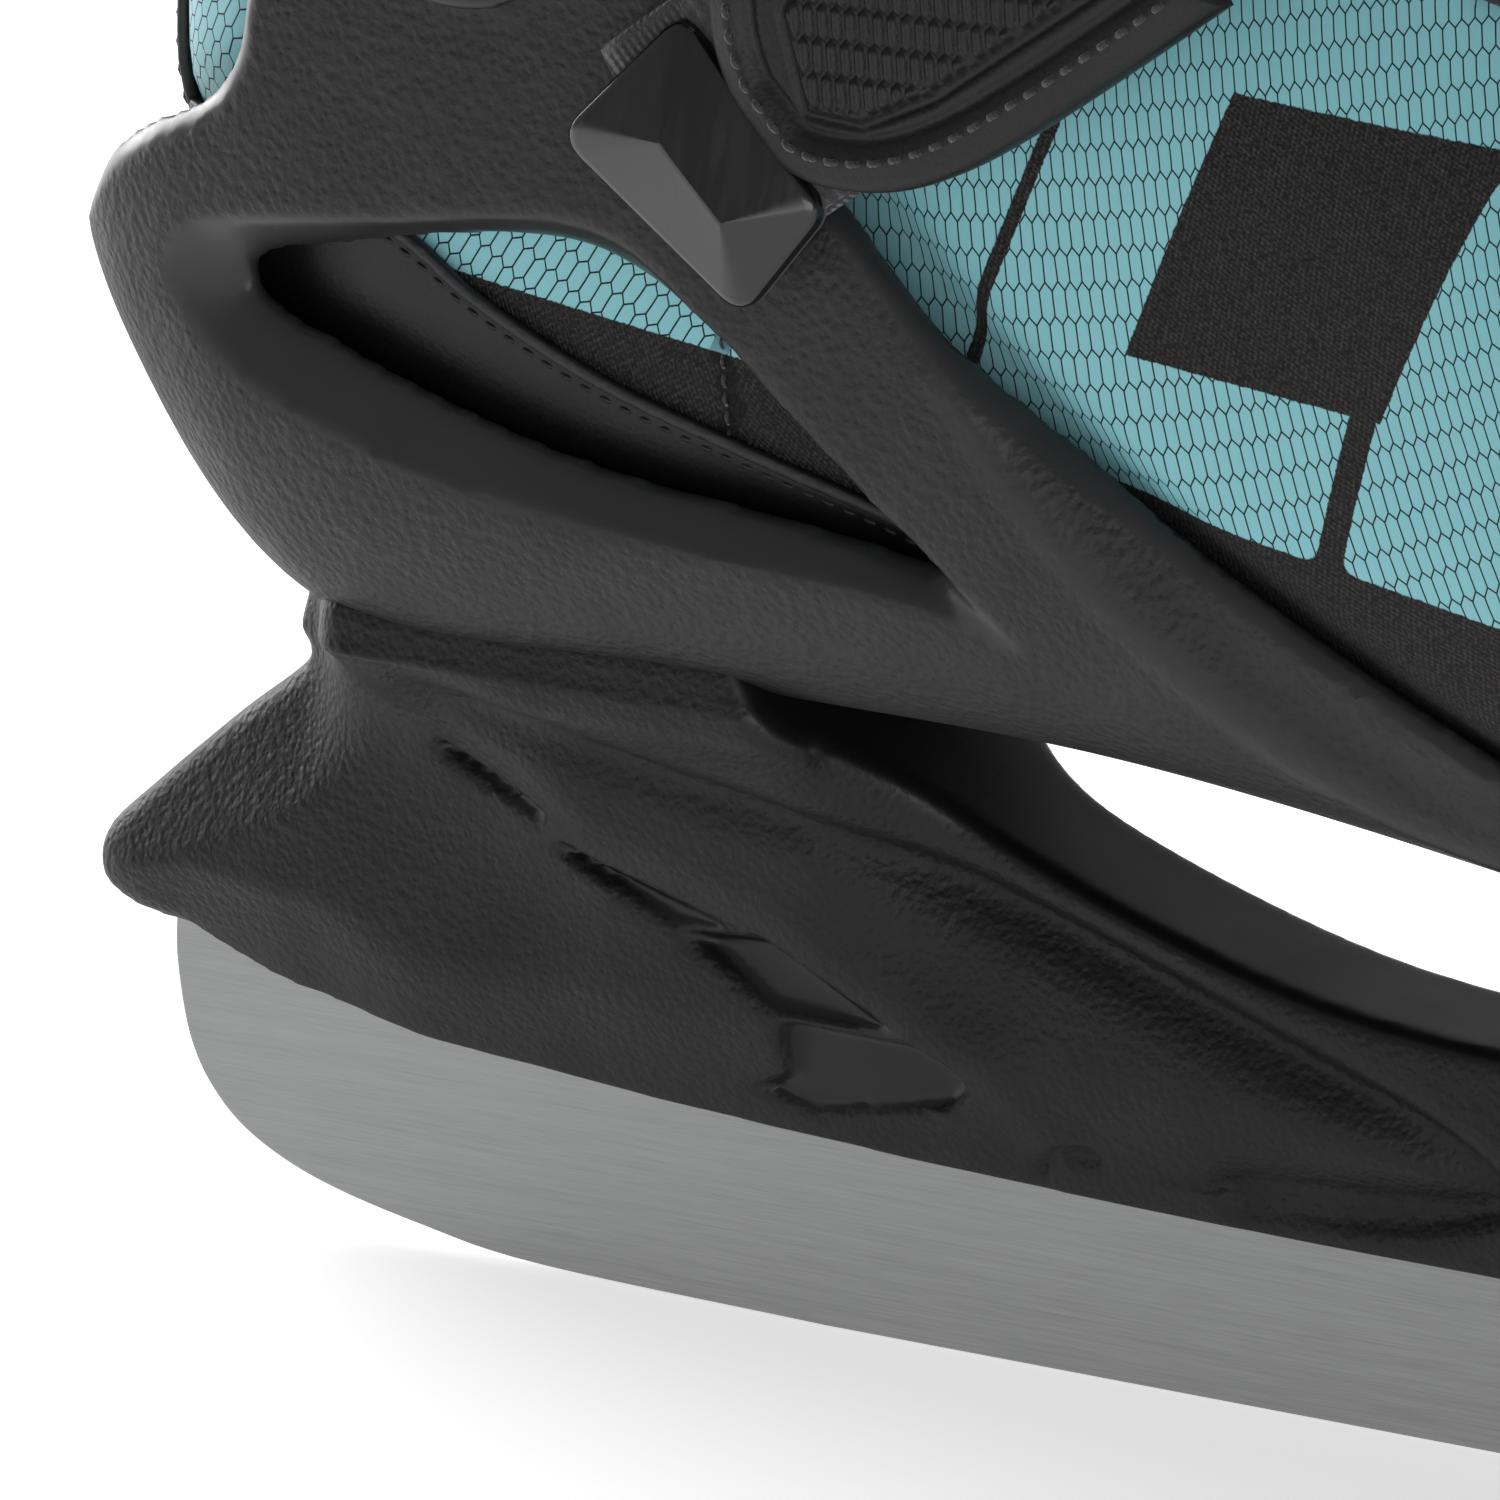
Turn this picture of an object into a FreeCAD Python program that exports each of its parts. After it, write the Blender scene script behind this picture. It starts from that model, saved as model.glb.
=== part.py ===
import FreeCAD, Part
import math
import os

from FreeCAD import Placement, Rotation, Vector

# A right-foot recreational ice skate with a soft boot held in a moulded shell.
# Millimetres.  +X points to the toe, -Y is the outer (lateral) side, +Z is up.
# The origin is the contact point of the runner with the ice, under its middle.

doc = FreeCAD.newDocument("IceSkate")

# ---------------------------------------------------------------- driving sizes

SIZES = (
    ("blade_length", 292),
    ("blade_thickness", 3),
    ("blade_flat", 70),
    ("blade_rocker", 3000),
    ("slot_clearance", 0.1),
    ("seam_height", 17.7),
    ("beam_half_width", 8),
    ("flange_half_width", 25),
    ("heel_height", 66.5),
    ("ball_height", 54.8),
    ("lug_heel_x", -90),
    ("lug_sole_x", 87),
    ("bolt_radius", 3),
    ("bolt_head_radius", 5),
    ("nut_radius", 4),
    ("rivet_radius", 2.5),
    ("rivet_head_radius", 4.6),
    ("rivet_side", 15),
    ("shell_wall", 3),
    ("boot_wall", 6),
    ("cuff_wall", 3),
    ("pivot_x", -84),
    ("pivot_z", 152),
    ("pivot_radius", 4),
    ("pivot_clearance", 0.06),
    ("flex_forward", 13),
    ("ankle_sphere", 48),
    ("throat_half_width", 22),
    ("strap_angle", 36),
    ("webbing_width", 25),
    ("webbing_thickness", 2.2),
    ("strap_end_width", 36),
    ("buckle_low", 211),
    ("buckle_high", 241),
    ("ladder_width", 24.8),
    ("ladder_thickness", 2.5),
    ("ladder_pitch", 4),
    ("pin_radius", 1.5),
)

sheet = doc.addObject("Spreadsheet::Sheet", "Sizes")
for row, (alias, number) in enumerate(SIZES, start=1):
    sheet.set("A%d" % row, alias)
    sheet.set("B%d" % row, str(number))
    sheet.setAlias("B%d" % row, alias)
doc.recompute()


def size(alias):
    return float(sheet.get(alias))


HALF_BLADE = size("blade_length") / 2
HALF_FLAT = size("blade_flat") / 2
PIVOT = Vector(size("pivot_x"), 0, size("pivot_z"))
ALONG_Y = Vector(0, 1, 0)
ALONG_Z = Vector(0, 0, 1)
LATERAL = -1
MEDIAL = 1

nodes = []


# ---------------------------------------------------------------- shared helpers

def side(x, z, y=0):
    """A point of the side view."""
    return Vector(x, y, z)


def outline(start, *steps):
    """A closed wire in the side view: a step of two numbers is a line to that
    point, a step of four is an arc through the first point to the second."""
    first = side(*start)
    here = first
    edges = []
    for step in steps:
        there = side(*step[-2:])
        if len(step) == 2:
            edges.append(Part.makeLine(here, there))
        else:
            edges.append(Part.Arc(here, side(*step[:2]), there).toShape())
        here = there
    if (here - first).Length > 1e-6:
        edges.append(Part.makeLine(here, first))
    return Part.Wire(edges)


def side_prism(wire, low=-100, high=100):
    """The side-view outline as a solid between two values of Y."""
    face = Part.Face(wire)
    face.translate(Vector(0, low, 0))
    return face.extrude(Vector(0, high - low, 0))


def front_prism(points, back, front):
    """A front-view outline of (y, z) corners as a solid between two values of X."""
    corners = [Vector(back, y, z) for y, z in points]
    face = Part.Face(Part.makePolygon(corners + corners[:1]))
    return face.extrude(Vector(front - back, 0, 0))


def block(x0, x1, y0, y1, z0, z1):
    return Part.makeBox(x1 - x0, y1 - y0, z1 - z0, Vector(x0, y0, z0))


def rod(radius, start, direction, length):
    return Part.makeCylinder(radius, length, start, direction)


def across(radius, x, z, low, high):
    """A round bar along Y."""
    return rod(radius, side(x, z, low), ALONG_Y, high - low)


def upright(radius, x, y, low, high):
    """A round bar along Z."""
    return rod(radius, Vector(x, y, low), ALONG_Z, high - low)


def oval_section(top, bottom, half_width, grow, round_top, round_bottom):
    """Control points round a closed section across the foot, between a top and a
    bottom point of the side view: a superellipse, squarer in its lower half."""
    high = side(*top)
    low = side(*bottom)
    axis = (high - low).normalize()
    middle = (high + low) * 0.5
    half_height = (high - low).Length / 2 + grow
    count = 24
    swell = 1 + 4.5 / count ** 2
    points = []
    for index in range(count):
        angle = 2 * math.pi * index / count
        up = math.cos(angle)
        out = math.sin(angle)
        power = 2 / (round_top if up > 0 else round_bottom)
        along = swell * half_height * math.copysign(abs(up) ** power, up)
        wide = swell * (half_width + grow) * math.copysign(abs(out) ** power, out)
        points.append(middle + axis * along + ALONG_Y * wide)
    return points


def between(sections):
    """The sections with one more in every gap, on a smooth curve through them."""
    rows = [(*top, *bottom, half) for top, bottom, half in sections]
    filled = []
    for index, row in enumerate(rows[:-1]):
        before = rows[max(index - 1, 0)]
        after = rows[index + 1]
        beyond = rows[min(index + 2, len(rows) - 1)]
        filled.append(row)
        filled.append(tuple((9 * (b + c) - a - d) / 16
                            for a, b, c, d in zip(before, row, after, beyond)))
    filled.append(rows[-1])
    return [((a, b), (c, d), half) for a, b, c, d, half in filled]


def form(sections, grow=0.0, round_top=2.2, round_bottom=3.0):
    """A smooth body through sections that fan out from the toe to the leg: one
    cubic surface, closed round the foot, and a flat cap at each end."""
    rings = [oval_section(top, bottom, half, grow, round_top, round_bottom)
             for top, bottom, half in between(sections)]
    rings[0] = [point + Vector(grow, 0, 0) for point in rings[0]]
    if grow < 0:
        rings[-1] = [point + Vector(0, 0, 4) for point in rings[-1]]
    count = len(rings[0])
    rows = len(rings)
    surface = Part.BSplineSurface()
    surface.buildFromPolesMultsKnots(
        [[ring[index] for ring in rings] for index in range(count)],
        [1] * (count + 1), [4] + [1] * (rows - 4) + [4],
        list(range(count + 1)), list(range(rows - 2)), True, False, 3, 3)
    skin = surface.toShape()
    caps = [Part.Face(Part.Wire(edge)) for edge in skin.Edges if edge.isClosed()]
    shell = Part.makeShell([skin] + caps)
    shell.sewShape()
    body = Part.makeSolid(shell)
    if body.Volume < 0:
        body.reverse()
    return body


def finish(label, shape, place=Placement()):
    """A sub-part whose shape is made here from the sheet's sizes."""
    feature = doc.addObject("Part::Feature", label)
    feature.Label = label
    feature.Shape = shape
    feature.Placement = place
    nodes.append(feature)
    return feature


def group(label, shapes):
    """Separate solids of one kind that share a node."""
    return finish(label, Part.makeCompound(shapes))


def origin_plane(body, role):
    return [item for item in body.Origin.OriginFeatures if item.Role == role][0]


def new_body(label):
    body = doc.addObject("PartDesign::Body", label)
    body.Label = label
    nodes.append(body)
    return body


def new_sketch(body, role, wire_edges, offset=None):
    """A sketch on one of the body's own planes, with the given flat edges."""
    sketch = body.newObject("Sketcher::SketchObject", body.Label + "_sketch")
    sketch.AttachmentSupport = [(origin_plane(body, role), "")]
    sketch.MapMode = "FlatFace"
    if offset:
        sketch.setExpression(".AttachmentOffset.Base.z", offset)
    for edge in wire_edges:
        sketch.addGeometry(edge, False)
    return sketch


def flat_edges(start, *steps):
    """The same steps as outline(), as edges in a sketch's own X and Y."""
    first = Vector(*start)
    here = first
    edges = []
    for step in steps:
        there = Vector(*step[-2:])
        if len(step) == 2:
            edges.append(Part.LineSegment(here, there))
        else:
            edges.append(Part.Arc(here, Vector(*step[:2]), there))
        here = there
    if (here - first).Length > 1e-6:
        edges.append(Part.LineSegment(here, first))
    return edges


# ---------------------------------------------------------------- runner blade

def rocker(x):
    """Height of the running edge above the ice: flat in the middle, then an arc."""
    beyond = max(0.0, abs(x) - HALF_FLAT)
    radius = size("blade_rocker")
    return radius - math.sqrt(radius ** 2 - beyond ** 2)


LUG_HALF = 14
LUG_TOP = 46


def blade_steps(extra):
    """The runner's outline.  Its hidden top edge and lugs grow by extra, which is
    the clearance of the holder's slot."""
    end = HALF_BLADE
    lift = 33 + extra
    web = 28 + extra
    lug = LUG_TOP + extra
    reach = LUG_HALF + extra
    heel = size("lug_heel_x")
    sole = size("lug_sole_x")
    knee = 105
    mid = (HALF_FLAT + knee) / 2
    return ((-end - extra, 27), (
        (-end + 4.5, 13.7, -end + 13, 8.0),
        (-end + 26, 3.9, -knee, rocker(knee)),
        (-mid, rocker(mid), -HALF_FLAT, 0),
        (HALF_FLAT, 0),
        (mid, rocker(mid), knee, rocker(knee)),
        (end - 26, 3.9, end - 13, 8.0),
        (end - 4.5, 13.7, end + extra, 27),
        (end + extra, lift), (126, lift), (120, web),
        (sole + reach, web), (sole + reach, lug), (sole - reach, lug), (sole - reach, web),
        (heel + reach, web), (heel + reach, lug), (heel - reach, lug), (heel - reach, web),
        (-120, web), (-126, lift), (-end - extra, lift)))


def make_blade():
    start, steps = blade_steps(0)
    body = new_body("blade")
    pad = body.newObject("PartDesign::Pad", "blade_pad")
    pad.Profile = new_sketch(body, "XZ_Plane", flat_edges(start, *steps))
    pad.setExpression("Length", "Sizes.blade_thickness")
    pad.SideType = "Symmetric"
    doc.recompute()
    keyhole = []
    for centre in (size("lug_heel_x"), size("lug_sole_x")):
        reach = size("nut_radius") + 0.1
        neck = size("bolt_radius") + 0.3
        low = 38 - math.sqrt(reach ** 2 - neck ** 2)
        high = 38 + math.sqrt(reach ** 2 - neck ** 2)
        keyhole += flat_edges((centre - neck, low), (centre, 38 - reach, centre + neck, low),
                              (centre + reach, 38, centre + neck, high),
                              (centre + neck, LUG_TOP + 1), (centre - neck, LUG_TOP + 1),
                              (centre - neck, high), (centre - reach, 38, centre - neck, low))
    cut = body.newObject("PartDesign::Pocket", "blade_keyholes")
    cut.Profile = new_sketch(body, "XZ_Plane", keyhole)
    cut.SideType = "Symmetric"
    cut.setExpression("Length", "Sizes.blade_thickness * 4")
    doc.recompute()


# ---------------------------------------------------------------- outer shell form

# Each section is (top point, bottom point, half width) of the shell's outside.
# Only the lower side of these sections is used: the rim line cuts the rest away.
HEEL = size("heel_height")
BALL = size("ball_height")
SHELL = (
    ((154, 88), (154, 70), 18),
    ((148, 101), (147, 61), 34),
    ((122, 116), (124, BALL + 1.4), 43.5),
    ((86, 130), (92, BALL), 48),
    ((52, 146), (58, BALL + 1), 47.5),
    ((22, 164), (18, HEEL - 5), 43.5),
    ((0, 182), (-28, HEEL - 0.5), 41),
    ((-8, 200), (-72, HEEL), 40.5),
    ((-10, 212), (-117, HEEL + 1), 40.5),
    ((-12, 222), (-140, HEEL + 24), 40.5),
    ((-14, 236), (-146.5, HEEL + 50), 40.5),
    ((-16, 252), (-140, HEEL + 96), 40.5),
)


def shell_form(grow):
    return form(SHELL, grow)


def side_window():
    """The long opening beside the heel: a thin tip at the back, a sloping front."""
    return outline((-114.9, 103.2), (-116.2, 105.4, -113.2, 107.6), (-95, 112.4, -73.6, 114),
                   (-53.5, 103.4, -37.8, 88.4), (-76, 92.4, -114.9, 103.2))


def make_shell():
    wall = size("shell_wall")
    body = shell_form(0).cut(shell_form(-wall))
    x = PIVOT.x
    z = PIVOT.z
    rim = outline((-160, 107), (-146, 107.6), (-141, 109.5), (-130, 119.5, -114, 127),
                  (-111, 138), (x - 18, z), (x, z + 18, x + 18, z), (-52, 131), (-41.5, 120.5),
                  (-18, 100.5, 25.7, 77.7), (44, 70.5, 70, 68.5), (128, 71), (160, 80),
                  (160, 40), (-160, 40))
    body = body.common(side_prism(rim))
    body = body.cut(side_prism(side_window()))
    face = 40.8
    for way in (LATERAL, MEDIAL):
        inner, outer = sorted((way * 37.6, way * face))
        body = body.fuse(across(15, x, z, inner, outer))
    hole = size("pivot_radius") + size("pivot_clearance")
    body = body.cut(across(hole, x, z, -60, 60))
    for way in (LATERAL, MEDIAL):
        inner, outer = sorted((way * 30, way * 39))
        body = body.cut(across(7.2, x, z, inner, outer))
    body = body.cut(rivet_holes())
    body = body.cut(across(2.1, STRAP_RIVET.x, STRAP_RIVET.z, -60, 60))
    return finish("shell", body)


# ---------------------------------------------------------------- blade holder

HEEL_RIVETS = [(x, way * size("rivet_side")) for x in (-110, -66) for way in (LATERAL, MEDIAL)]
SOLE_RIVETS = [(x, way * size("rivet_side")) for x in (70, 101, 124) for way in (LATERAL, MEDIAL)]
HEEL_SEAT = HEEL + 12.5
SOLE_SEAT = BALL + 12.6
HEEL_FLANGE = HEEL - 5
SOLE_FLANGE = BALL - 4.2


def rivet_holes():
    radius = size("rivet_radius") + 0.1
    bars = [upright(radius, x, y, HEEL_FLANGE - 5, HEEL_SEAT + 5) for x, y in HEEL_RIVETS]
    bars += [upright(radius, x, y, SOLE_FLANGE - 5, SOLE_SEAT + 5) for x, y in SOLE_RIVETS]
    return Part.makeCompound(bars)


def tower_section(flange):
    """Half of the holder's front view, from the blade seam up to a flange."""
    seam = size("seam_height")
    beam = size("beam_half_width")
    edge = size("flange_half_width")
    return ((3.6, seam - 10), (4.2, seam + 4), (beam, seam + 20), (beam + 1, flange - 14),
            (beam + 2, flange), (edge, flange), (edge, flange + 12))


def both_halves(points):
    """A closed front-view outline from its right half, bottom to top."""
    mirrored = [(-y, z) for y, z in points]
    return list(points) + mirrored[::-1]


def capsule(radius, back, front):
    """A bar with round ends in plan, between two centres on the middle line."""
    bar = block(back, front, -radius, radius, 0, 80)
    return bar.fuse([upright(radius, x, 0, 0, 80) for x in (back, front)])


def make_holder():
    seam = size("seam_height")
    tail = outline((-147, 28.9), (-152.5, 31.5, -154.8, 35.2), (-154, 38.5, -151.5, 40.8),
                   (-138, 52, -129, 60.1), (-131.3, 63, -129, 66.5), (-118, HEEL + 6),
                   (0, HEEL + 6), (100, BALL + 6), (134, BALL + 6), (132, 52),
                   (139, 45, 148, 41), (151.5, 37.5, 147, 28.9),
                   (143.9, 29.4), (0, seam - 0.1, -143.9, 29.4))
    body = side_prism(tail, -30, 30)
    rear = front_prism(both_halves(tower_section(HEEL_FLANGE)), -160, 10)
    front = front_prism(both_halves(tower_section(SOLE_FLANGE)), 10, 160)
    body = body.common(rear.fuse(front))
    core = block(-160, 160, -9.6, 9.6, 0, 80)
    feet = [capsule(size("flange_half_width"), *ends) for ends in ((-106, -83), (87, 109))]
    body = body.common(core.fuse(feet))
    arch = outline((-60, 80), (-58, 66), (-30, 49, 24, 42.6), (52, 45, 62, 58), (62, 80))
    body = body.cut(side_prism(arch))
    body = body.cut(shell_form(0.05))
    body = body.removeSplitter()
    body = Part.makeSolid(max(body.Solids, key=lambda solid: solid.Volume).Shells[0])
    start, steps = blade_steps(size("slot_clearance"))
    half_slot = size("blade_thickness") / 2 + size("slot_clearance") / 2
    body = body.cut(side_prism(outline(start, *steps), -half_slot, half_slot))
    for x, top in ((size("lug_heel_x"), HEEL), (size("lug_sole_x"), BALL)):
        body = body.cut(upright(size("bolt_radius") + 0.2, x, 0, 30, top + 5))
        body = body.cut(upright(size("bolt_head_radius") + 0.3, x, 0, top - 8, top + 5))
        body = body.cut(across(size("nut_radius") + 0.1, x, 38, -6, 30))
    body = body.cut(rivet_holes())
    finish("blade_holder", body)


def make_blade_fixings():
    """Two bolts come down the towers into round cross nuts held in the lugs."""
    bolts = []
    nuts = []
    reach = size("bolt_radius")
    head = size("bolt_head_radius")
    for x, top in ((size("lug_heel_x"), HEEL), (size("lug_sole_x"), BALL)):
        shank = upright(reach, x, 0, 35.3, top - 7.9)
        cap = upright(head, x, 0, top - 7.9, top - 1.9)
        bolts.append(shank.fuse(cap).removeSplitter().cut(upright(2.4, x, 0, top - 5, top)))
        nut = across(size("nut_radius"), x, 38, -5.8, 8.6)
        nuts.append(nut.cut(upright(reach, x, 0, 30, 50)))
    group("blade_bolts", bolts)
    group("blade_nuts", nuts)


def rivet(x, y, low, seat):
    radius = size("rivet_radius")
    head = size("rivet_head_radius")
    shank = upright(radius, x, y, low, seat)
    tail = Part.makeCone(head * 0.85, head * 0.6, 1.6, Vector(x, y, low), Vector(0, 0, -1))
    cap = Part.makeCone(head, head * 0.75, 1.4, Vector(x, y, seat), ALONG_Z)
    return shank.fuse([tail, cap]).removeSplitter()


def make_rivets():
    group("heel_rivets", [rivet(x, y, HEEL_FLANGE, HEEL_SEAT) for x, y in HEEL_RIVETS])
    group("sole_rivets", [rivet(x, y, SOLE_FLANGE, SOLE_SEAT) for x, y in SOLE_RIVETS])


# ---------------------------------------------------------------- soft boot

BOOT_SOLE = size("shell_wall") + 0.6
BOOT = (
    ((148, 91), (148, 71), 19),
    ((143, 97), (141, 66), 28),
    ((119, 111), (121, BALL + BOOT_SOLE + 1.6), 39),
    ((84, 124), (90, BALL + BOOT_SOLE + 0.2), 44),
    ((50, 140), (56, BALL + BOOT_SOLE + 1.2), 43),
    ((19, 158), (18, HEEL + BOOT_SOLE - 4.6), 39.2),
    ((-3, 176), (-28, HEEL + BOOT_SOLE), 36.6),
    ((-11, 191), (-72, HEEL + BOOT_SOLE + 0.3), 35.4),
    ((-14, 203), (-113, HEEL + BOOT_SOLE + 2.5), 35.2),
    ((-16, 214), (-132, HEEL + 32), 35.2),
    ((-19, 228), (-133.5, HEEL + 76), 36.2),
    ((-22, 246), (-124.5, HEEL + 122), 38.8),
    ((-26, 284), (-111.5, HEEL + 209), 42.4),
    ((-27, 298), (-110.5, HEEL + 231.5), 42.8),
)


def boot_form(grow):
    return form(BOOT, grow)


def turn_about_pivot(angle, radius):
    """A point at an angle above the forward horizontal through the ankle axis."""
    turn = math.radians(angle)
    return (PIVOT.x + radius * math.cos(turn), PIVOT.z + radius * math.sin(turn))


WEDGE_TOP = 14
WEDGE_LOW = WEDGE_TOP - size("flex_forward") - 2


def below_ankle():
    """Room of the fixed foot part: under the hinge line, and a barrel round it."""
    far = 300
    low = outline((PIVOT.x, PIVOT.z), turn_about_pivot(WEDGE_LOW, far), (far, 0),
                  (-far, 0), (-far, PIVOT.z))
    return side_prism(low).fuse(across(size("ankle_sphere"), PIVOT.x, PIVOT.z, -100, 100))


def above_ankle():
    """Room of the leg part: over the hinge line and outside the barrel."""
    far = 400
    high = outline((PIVOT.x, PIVOT.z), turn_about_pivot(WEDGE_TOP, far), (far, far + 200),
                   (-far, far + 200), (-far, PIVOT.z))
    barrel = across(size("ankle_sphere") + 0.5, PIVOT.x, PIVOT.z, -100, 100)
    return side_prism(high).cut(barrel)


def throat(half):
    """The lacing gap down the front of the boot, over the tongue."""
    wire = outline((52, 100), (20, 120), (-70, 175), (-75, 330), (80, 330), (80, 100))
    return side_prism(wire, -half, half)


def make_boot():
    hollow = boot_form(0).cut(boot_form(-size("boot_wall")))
    top = outline((-160, 281), (-100, 274), (-60, 281), (60, 286), (60, 400), (-160, 400))
    hollow = hollow.cut(side_prism(top))
    hollow = hollow.cut(throat(size("throat_half_width")))
    lower = hollow.common(below_ankle())
    seats = [upright(size("rivet_head_radius") + 0.5, x, y, HEEL_SEAT, HEEL_SEAT + 6)
             for x, y in HEEL_RIVETS]
    seats += [upright(size("rivet_head_radius") + 0.5, x, y, SOLE_SEAT, SOLE_SEAT + 6)
              for x, y in SOLE_RIVETS]
    lower = lower.cut(Part.makeCompound(seats)).cut(rivet_holes())
    finish("boot_lower", largest(lower))
    finish("boot_collar", Part.makeCompound(hollow.common(above_ankle()).Solids))


def largest(shape):
    return max(shape.Solids, key=lambda solid: solid.Volume)


def make_tongue():
    """One padded tongue under the throat: its foot stays, its leg part leans."""
    layer = boot_form(1.2).cut(boot_form(-size("boot_wall")))
    strip = layer.common(throat(size("throat_half_width") - 0.5))
    strip = strip.cut(block(-120, 60, -60, 60, 297, 320))
    finish("tongue_base", largest(strip.common(below_ankle())))
    finish("tongue_leg", largest(strip.common(above_ankle())))


def patch(low, high, room):
    """A piece of even thickness that follows the boot inside a given room."""
    return boot_form(high).cut(boot_form(low)).common(room)


def make_boot_trim():
    counter = outline((-150, 82), (-118, 81), (-60, 80.5), (-40, 86), (-80, 92), (-112, 104),
                      (-150, 116))
    finish("heel_counter", largest(patch(0.3, 1.3, side_prism(counter))))
    bumper = outline((112, 72.5), (160, 78), (160, 110), (128, 110), (118, 96, 112, 72.5))
    finish("toe_bumper", largest(patch(0.3, 1.9, side_prism(bumper))))
    inner = boot_form(-size("boot_wall") - 0.4)
    bed = outline((-140, HEEL + 3), (-28, HEEL + 3), (56, BALL), (150, BALL),
                  (150, BALL + 17), (58, BALL + 15), (-28, HEEL + 15), (-140, HEEL + 18))
    sole = inner.common(side_prism(bed))
    seats = [upright(size("rivet_head_radius") + 0.8, x, y, HEEL, HEEL_SEAT + 1.6)
             for x, y in HEEL_RIVETS]
    seats += [upright(size("rivet_head_radius") + 0.8, x, y, BALL, SOLE_SEAT + 1.6)
              for x, y in SOLE_RIVETS]
    finish("footbed", largest(sole.cut(Part.makeCompound(seats))))
    edge = size("throat_half_width")
    loops = []
    for x, z in ((42, 144), (30, 151), (18, 158)):
        for way in (LATERAL, MEDIAL):
            inner_y, outer_y = sorted((way * (edge + 2), way * (edge + 12)))
            loops.append(largest(patch(0.3, 1.8, block(x - 4, x + 4, inner_y, outer_y, 100, z + 5))))
    group("lace_loops", loops)
    hooks = []
    for z in (246, 262):
        for way in (LATERAL, MEDIAL):
            inner_y, outer_y = sorted((way * (edge + 3), way * (edge + 10)))
            hooks.append(largest(patch(0.3, 3.2, block(-60, 0, inner_y, outer_y, z - 3, z + 3))))
    group("lace_hooks", hooks)
    tab = block(-114, -111.4, -11, 11, 277, 298)
    tab = tab.cut(block(-116, -108, -6.5, 6.5, 284, 292))
    finish("pull_tab", tab)


# ---------------------------------------------------------------- ankle cuff

CUFF = (
    ((2, 112), (-143, 112), 45.6),
    ((2, 150), (-139.5, 150), 45.6),
    ((-2, 172), (-136, 172), 45.6),
    ((-8, 200), (-131, 200), 46.2),
    ((-12, 244), (-123, 244), 46.8),
    ((-16, 276), (-117, 276), 49),
)


def make_cuff():
    wall = size("cuff_wall")
    body = form(CUFF, 0, 3, 3).cut(form(CUFF, -wall, 3, 3))
    x = PIVOT.x
    z = PIVOT.z
    sides = outline((x - 14, z), (x, z - 14, x + 14, z), (-58, 176, -30, 204), (-25, 230, -27, 258),
                    (-32, 266, -42, 266), (-80, 258, -108, 270), (-150, 276), (-150, 172),
                    (-128, 168), (-112, 164, x - 14, z))
    body = body.common(side_prism(sides))
    for way in (LATERAL, MEDIAL):
        inner, outer = sorted((way * 41.3, way * 45.6))
        body = body.fuse(across(14, x, z, inner, outer))
    hole = size("pivot_radius") + size("pivot_clearance")
    body = body.cut(across(hole, x, z, -60, 60))
    body = body.cut(across(2.1, RIVET_BACK, MIDDLE, -60, 0))
    body = body.cut(across(2.1, RIVET_FRONT, MIDDLE, -60, 0))
    body = body.cut(across(2.1, LADDER_RIVET, MIDDLE, 0, 60))
    finish("cuff", largest(body))


def make_pivots():
    pins = []
    for way in (LATERAL, MEDIAL):
        turned = Rotation(Vector(1, 0, 0), 90 * -way)
        shank = Part.makeCylinder(size("pivot_radius"), 9, Vector(0, 0, 37.7))
        inside = Part.makeCylinder(7, 1.2, Vector(0, 0, 37.7))
        outside = Part.makeCone(8, 6.4, 2, Vector(0, 0, 45.8))
        pin = shank.fuse([inside, outside]).removeSplitter()
        pin.Placement = Placement(side(PIVOT.x, PIVOT.z), turned)
        pins.append(pin)
    group("cuff_pivots", pins)


# ---------------------------------------------------------------- ratchet buckle

LOW = size("buckle_low")
HIGH = size("buckle_high")
MIDDLE = (LOW + HIGH) / 2
RIVET_BACK = -88
RIVET_FRONT = -62
LADDER_RIVET = -74
LEVER_PIN = (-53, -58)
PAWL_PIN = (-75, -57)


def u_shape(back, knee, tip, centre, half, thick, height):
    """A U-shaped strap seen from above: two straight legs and a round front."""
    rims = []
    for extra in (thick, 0):
        side_y = half + extra
        bend = Part.BSplineCurve()
        pull = 1.3 * side_y
        bend.interpolate(Points=[Vector(knee, centre - side_y, height),
                                 Vector(tip + extra, centre, height),
                                 Vector(knee, centre + side_y, height)],
                         Tangents=[Vector(pull, 0, 0), Vector(0, pull, 0), Vector(-pull, 0, 0)],
                         TangentFlags=[True, True, True])
        ends = [Vector(back, centre + side_y, height), Vector(back, centre - side_y, height)]
        rims.append(Part.Face(Part.Wire([
            bend.toShape(), Part.makeLine(Vector(knee, centre + side_y, height), ends[0]),
            Part.makeLine(*ends), Part.makeLine(ends[1], Vector(knee, centre - side_y, height))])))
    return rims[0].cut(rims[1])


def make_ladder_strap():
    """A toothed strap round the shin: fixed inside, its tail in the buckle outside."""
    thick = size("ladder_thickness")
    half = size("ladder_width") / 2
    medial = 47.6
    lateral = 49.8
    low = MIDDLE - half
    up = Vector(0, 0, 2 * half)
    centre = (medial - lateral) / 2
    inner = (medial + lateral) / 2
    band = u_shape(-100, -50, -10.5, centre, inner, thick, low).extrude(up)
    band = band.cut(block(-120, LADDER_RIVET - 10, 0, 80, LOW, HIGH))
    face = -lateral - thick
    for index in range(10):
        x = -97 + index * size("ladder_pitch")
        band = band.fuse(block(x, x + 1.6, face - 0.9, face + 0.4, MIDDLE - 8, MIDDLE + 8))
    band = band.cut(across(2.1, LADDER_RIVET, MIDDLE, 0, 80))
    finish("ladder_strap", band.removeSplitter())


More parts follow.
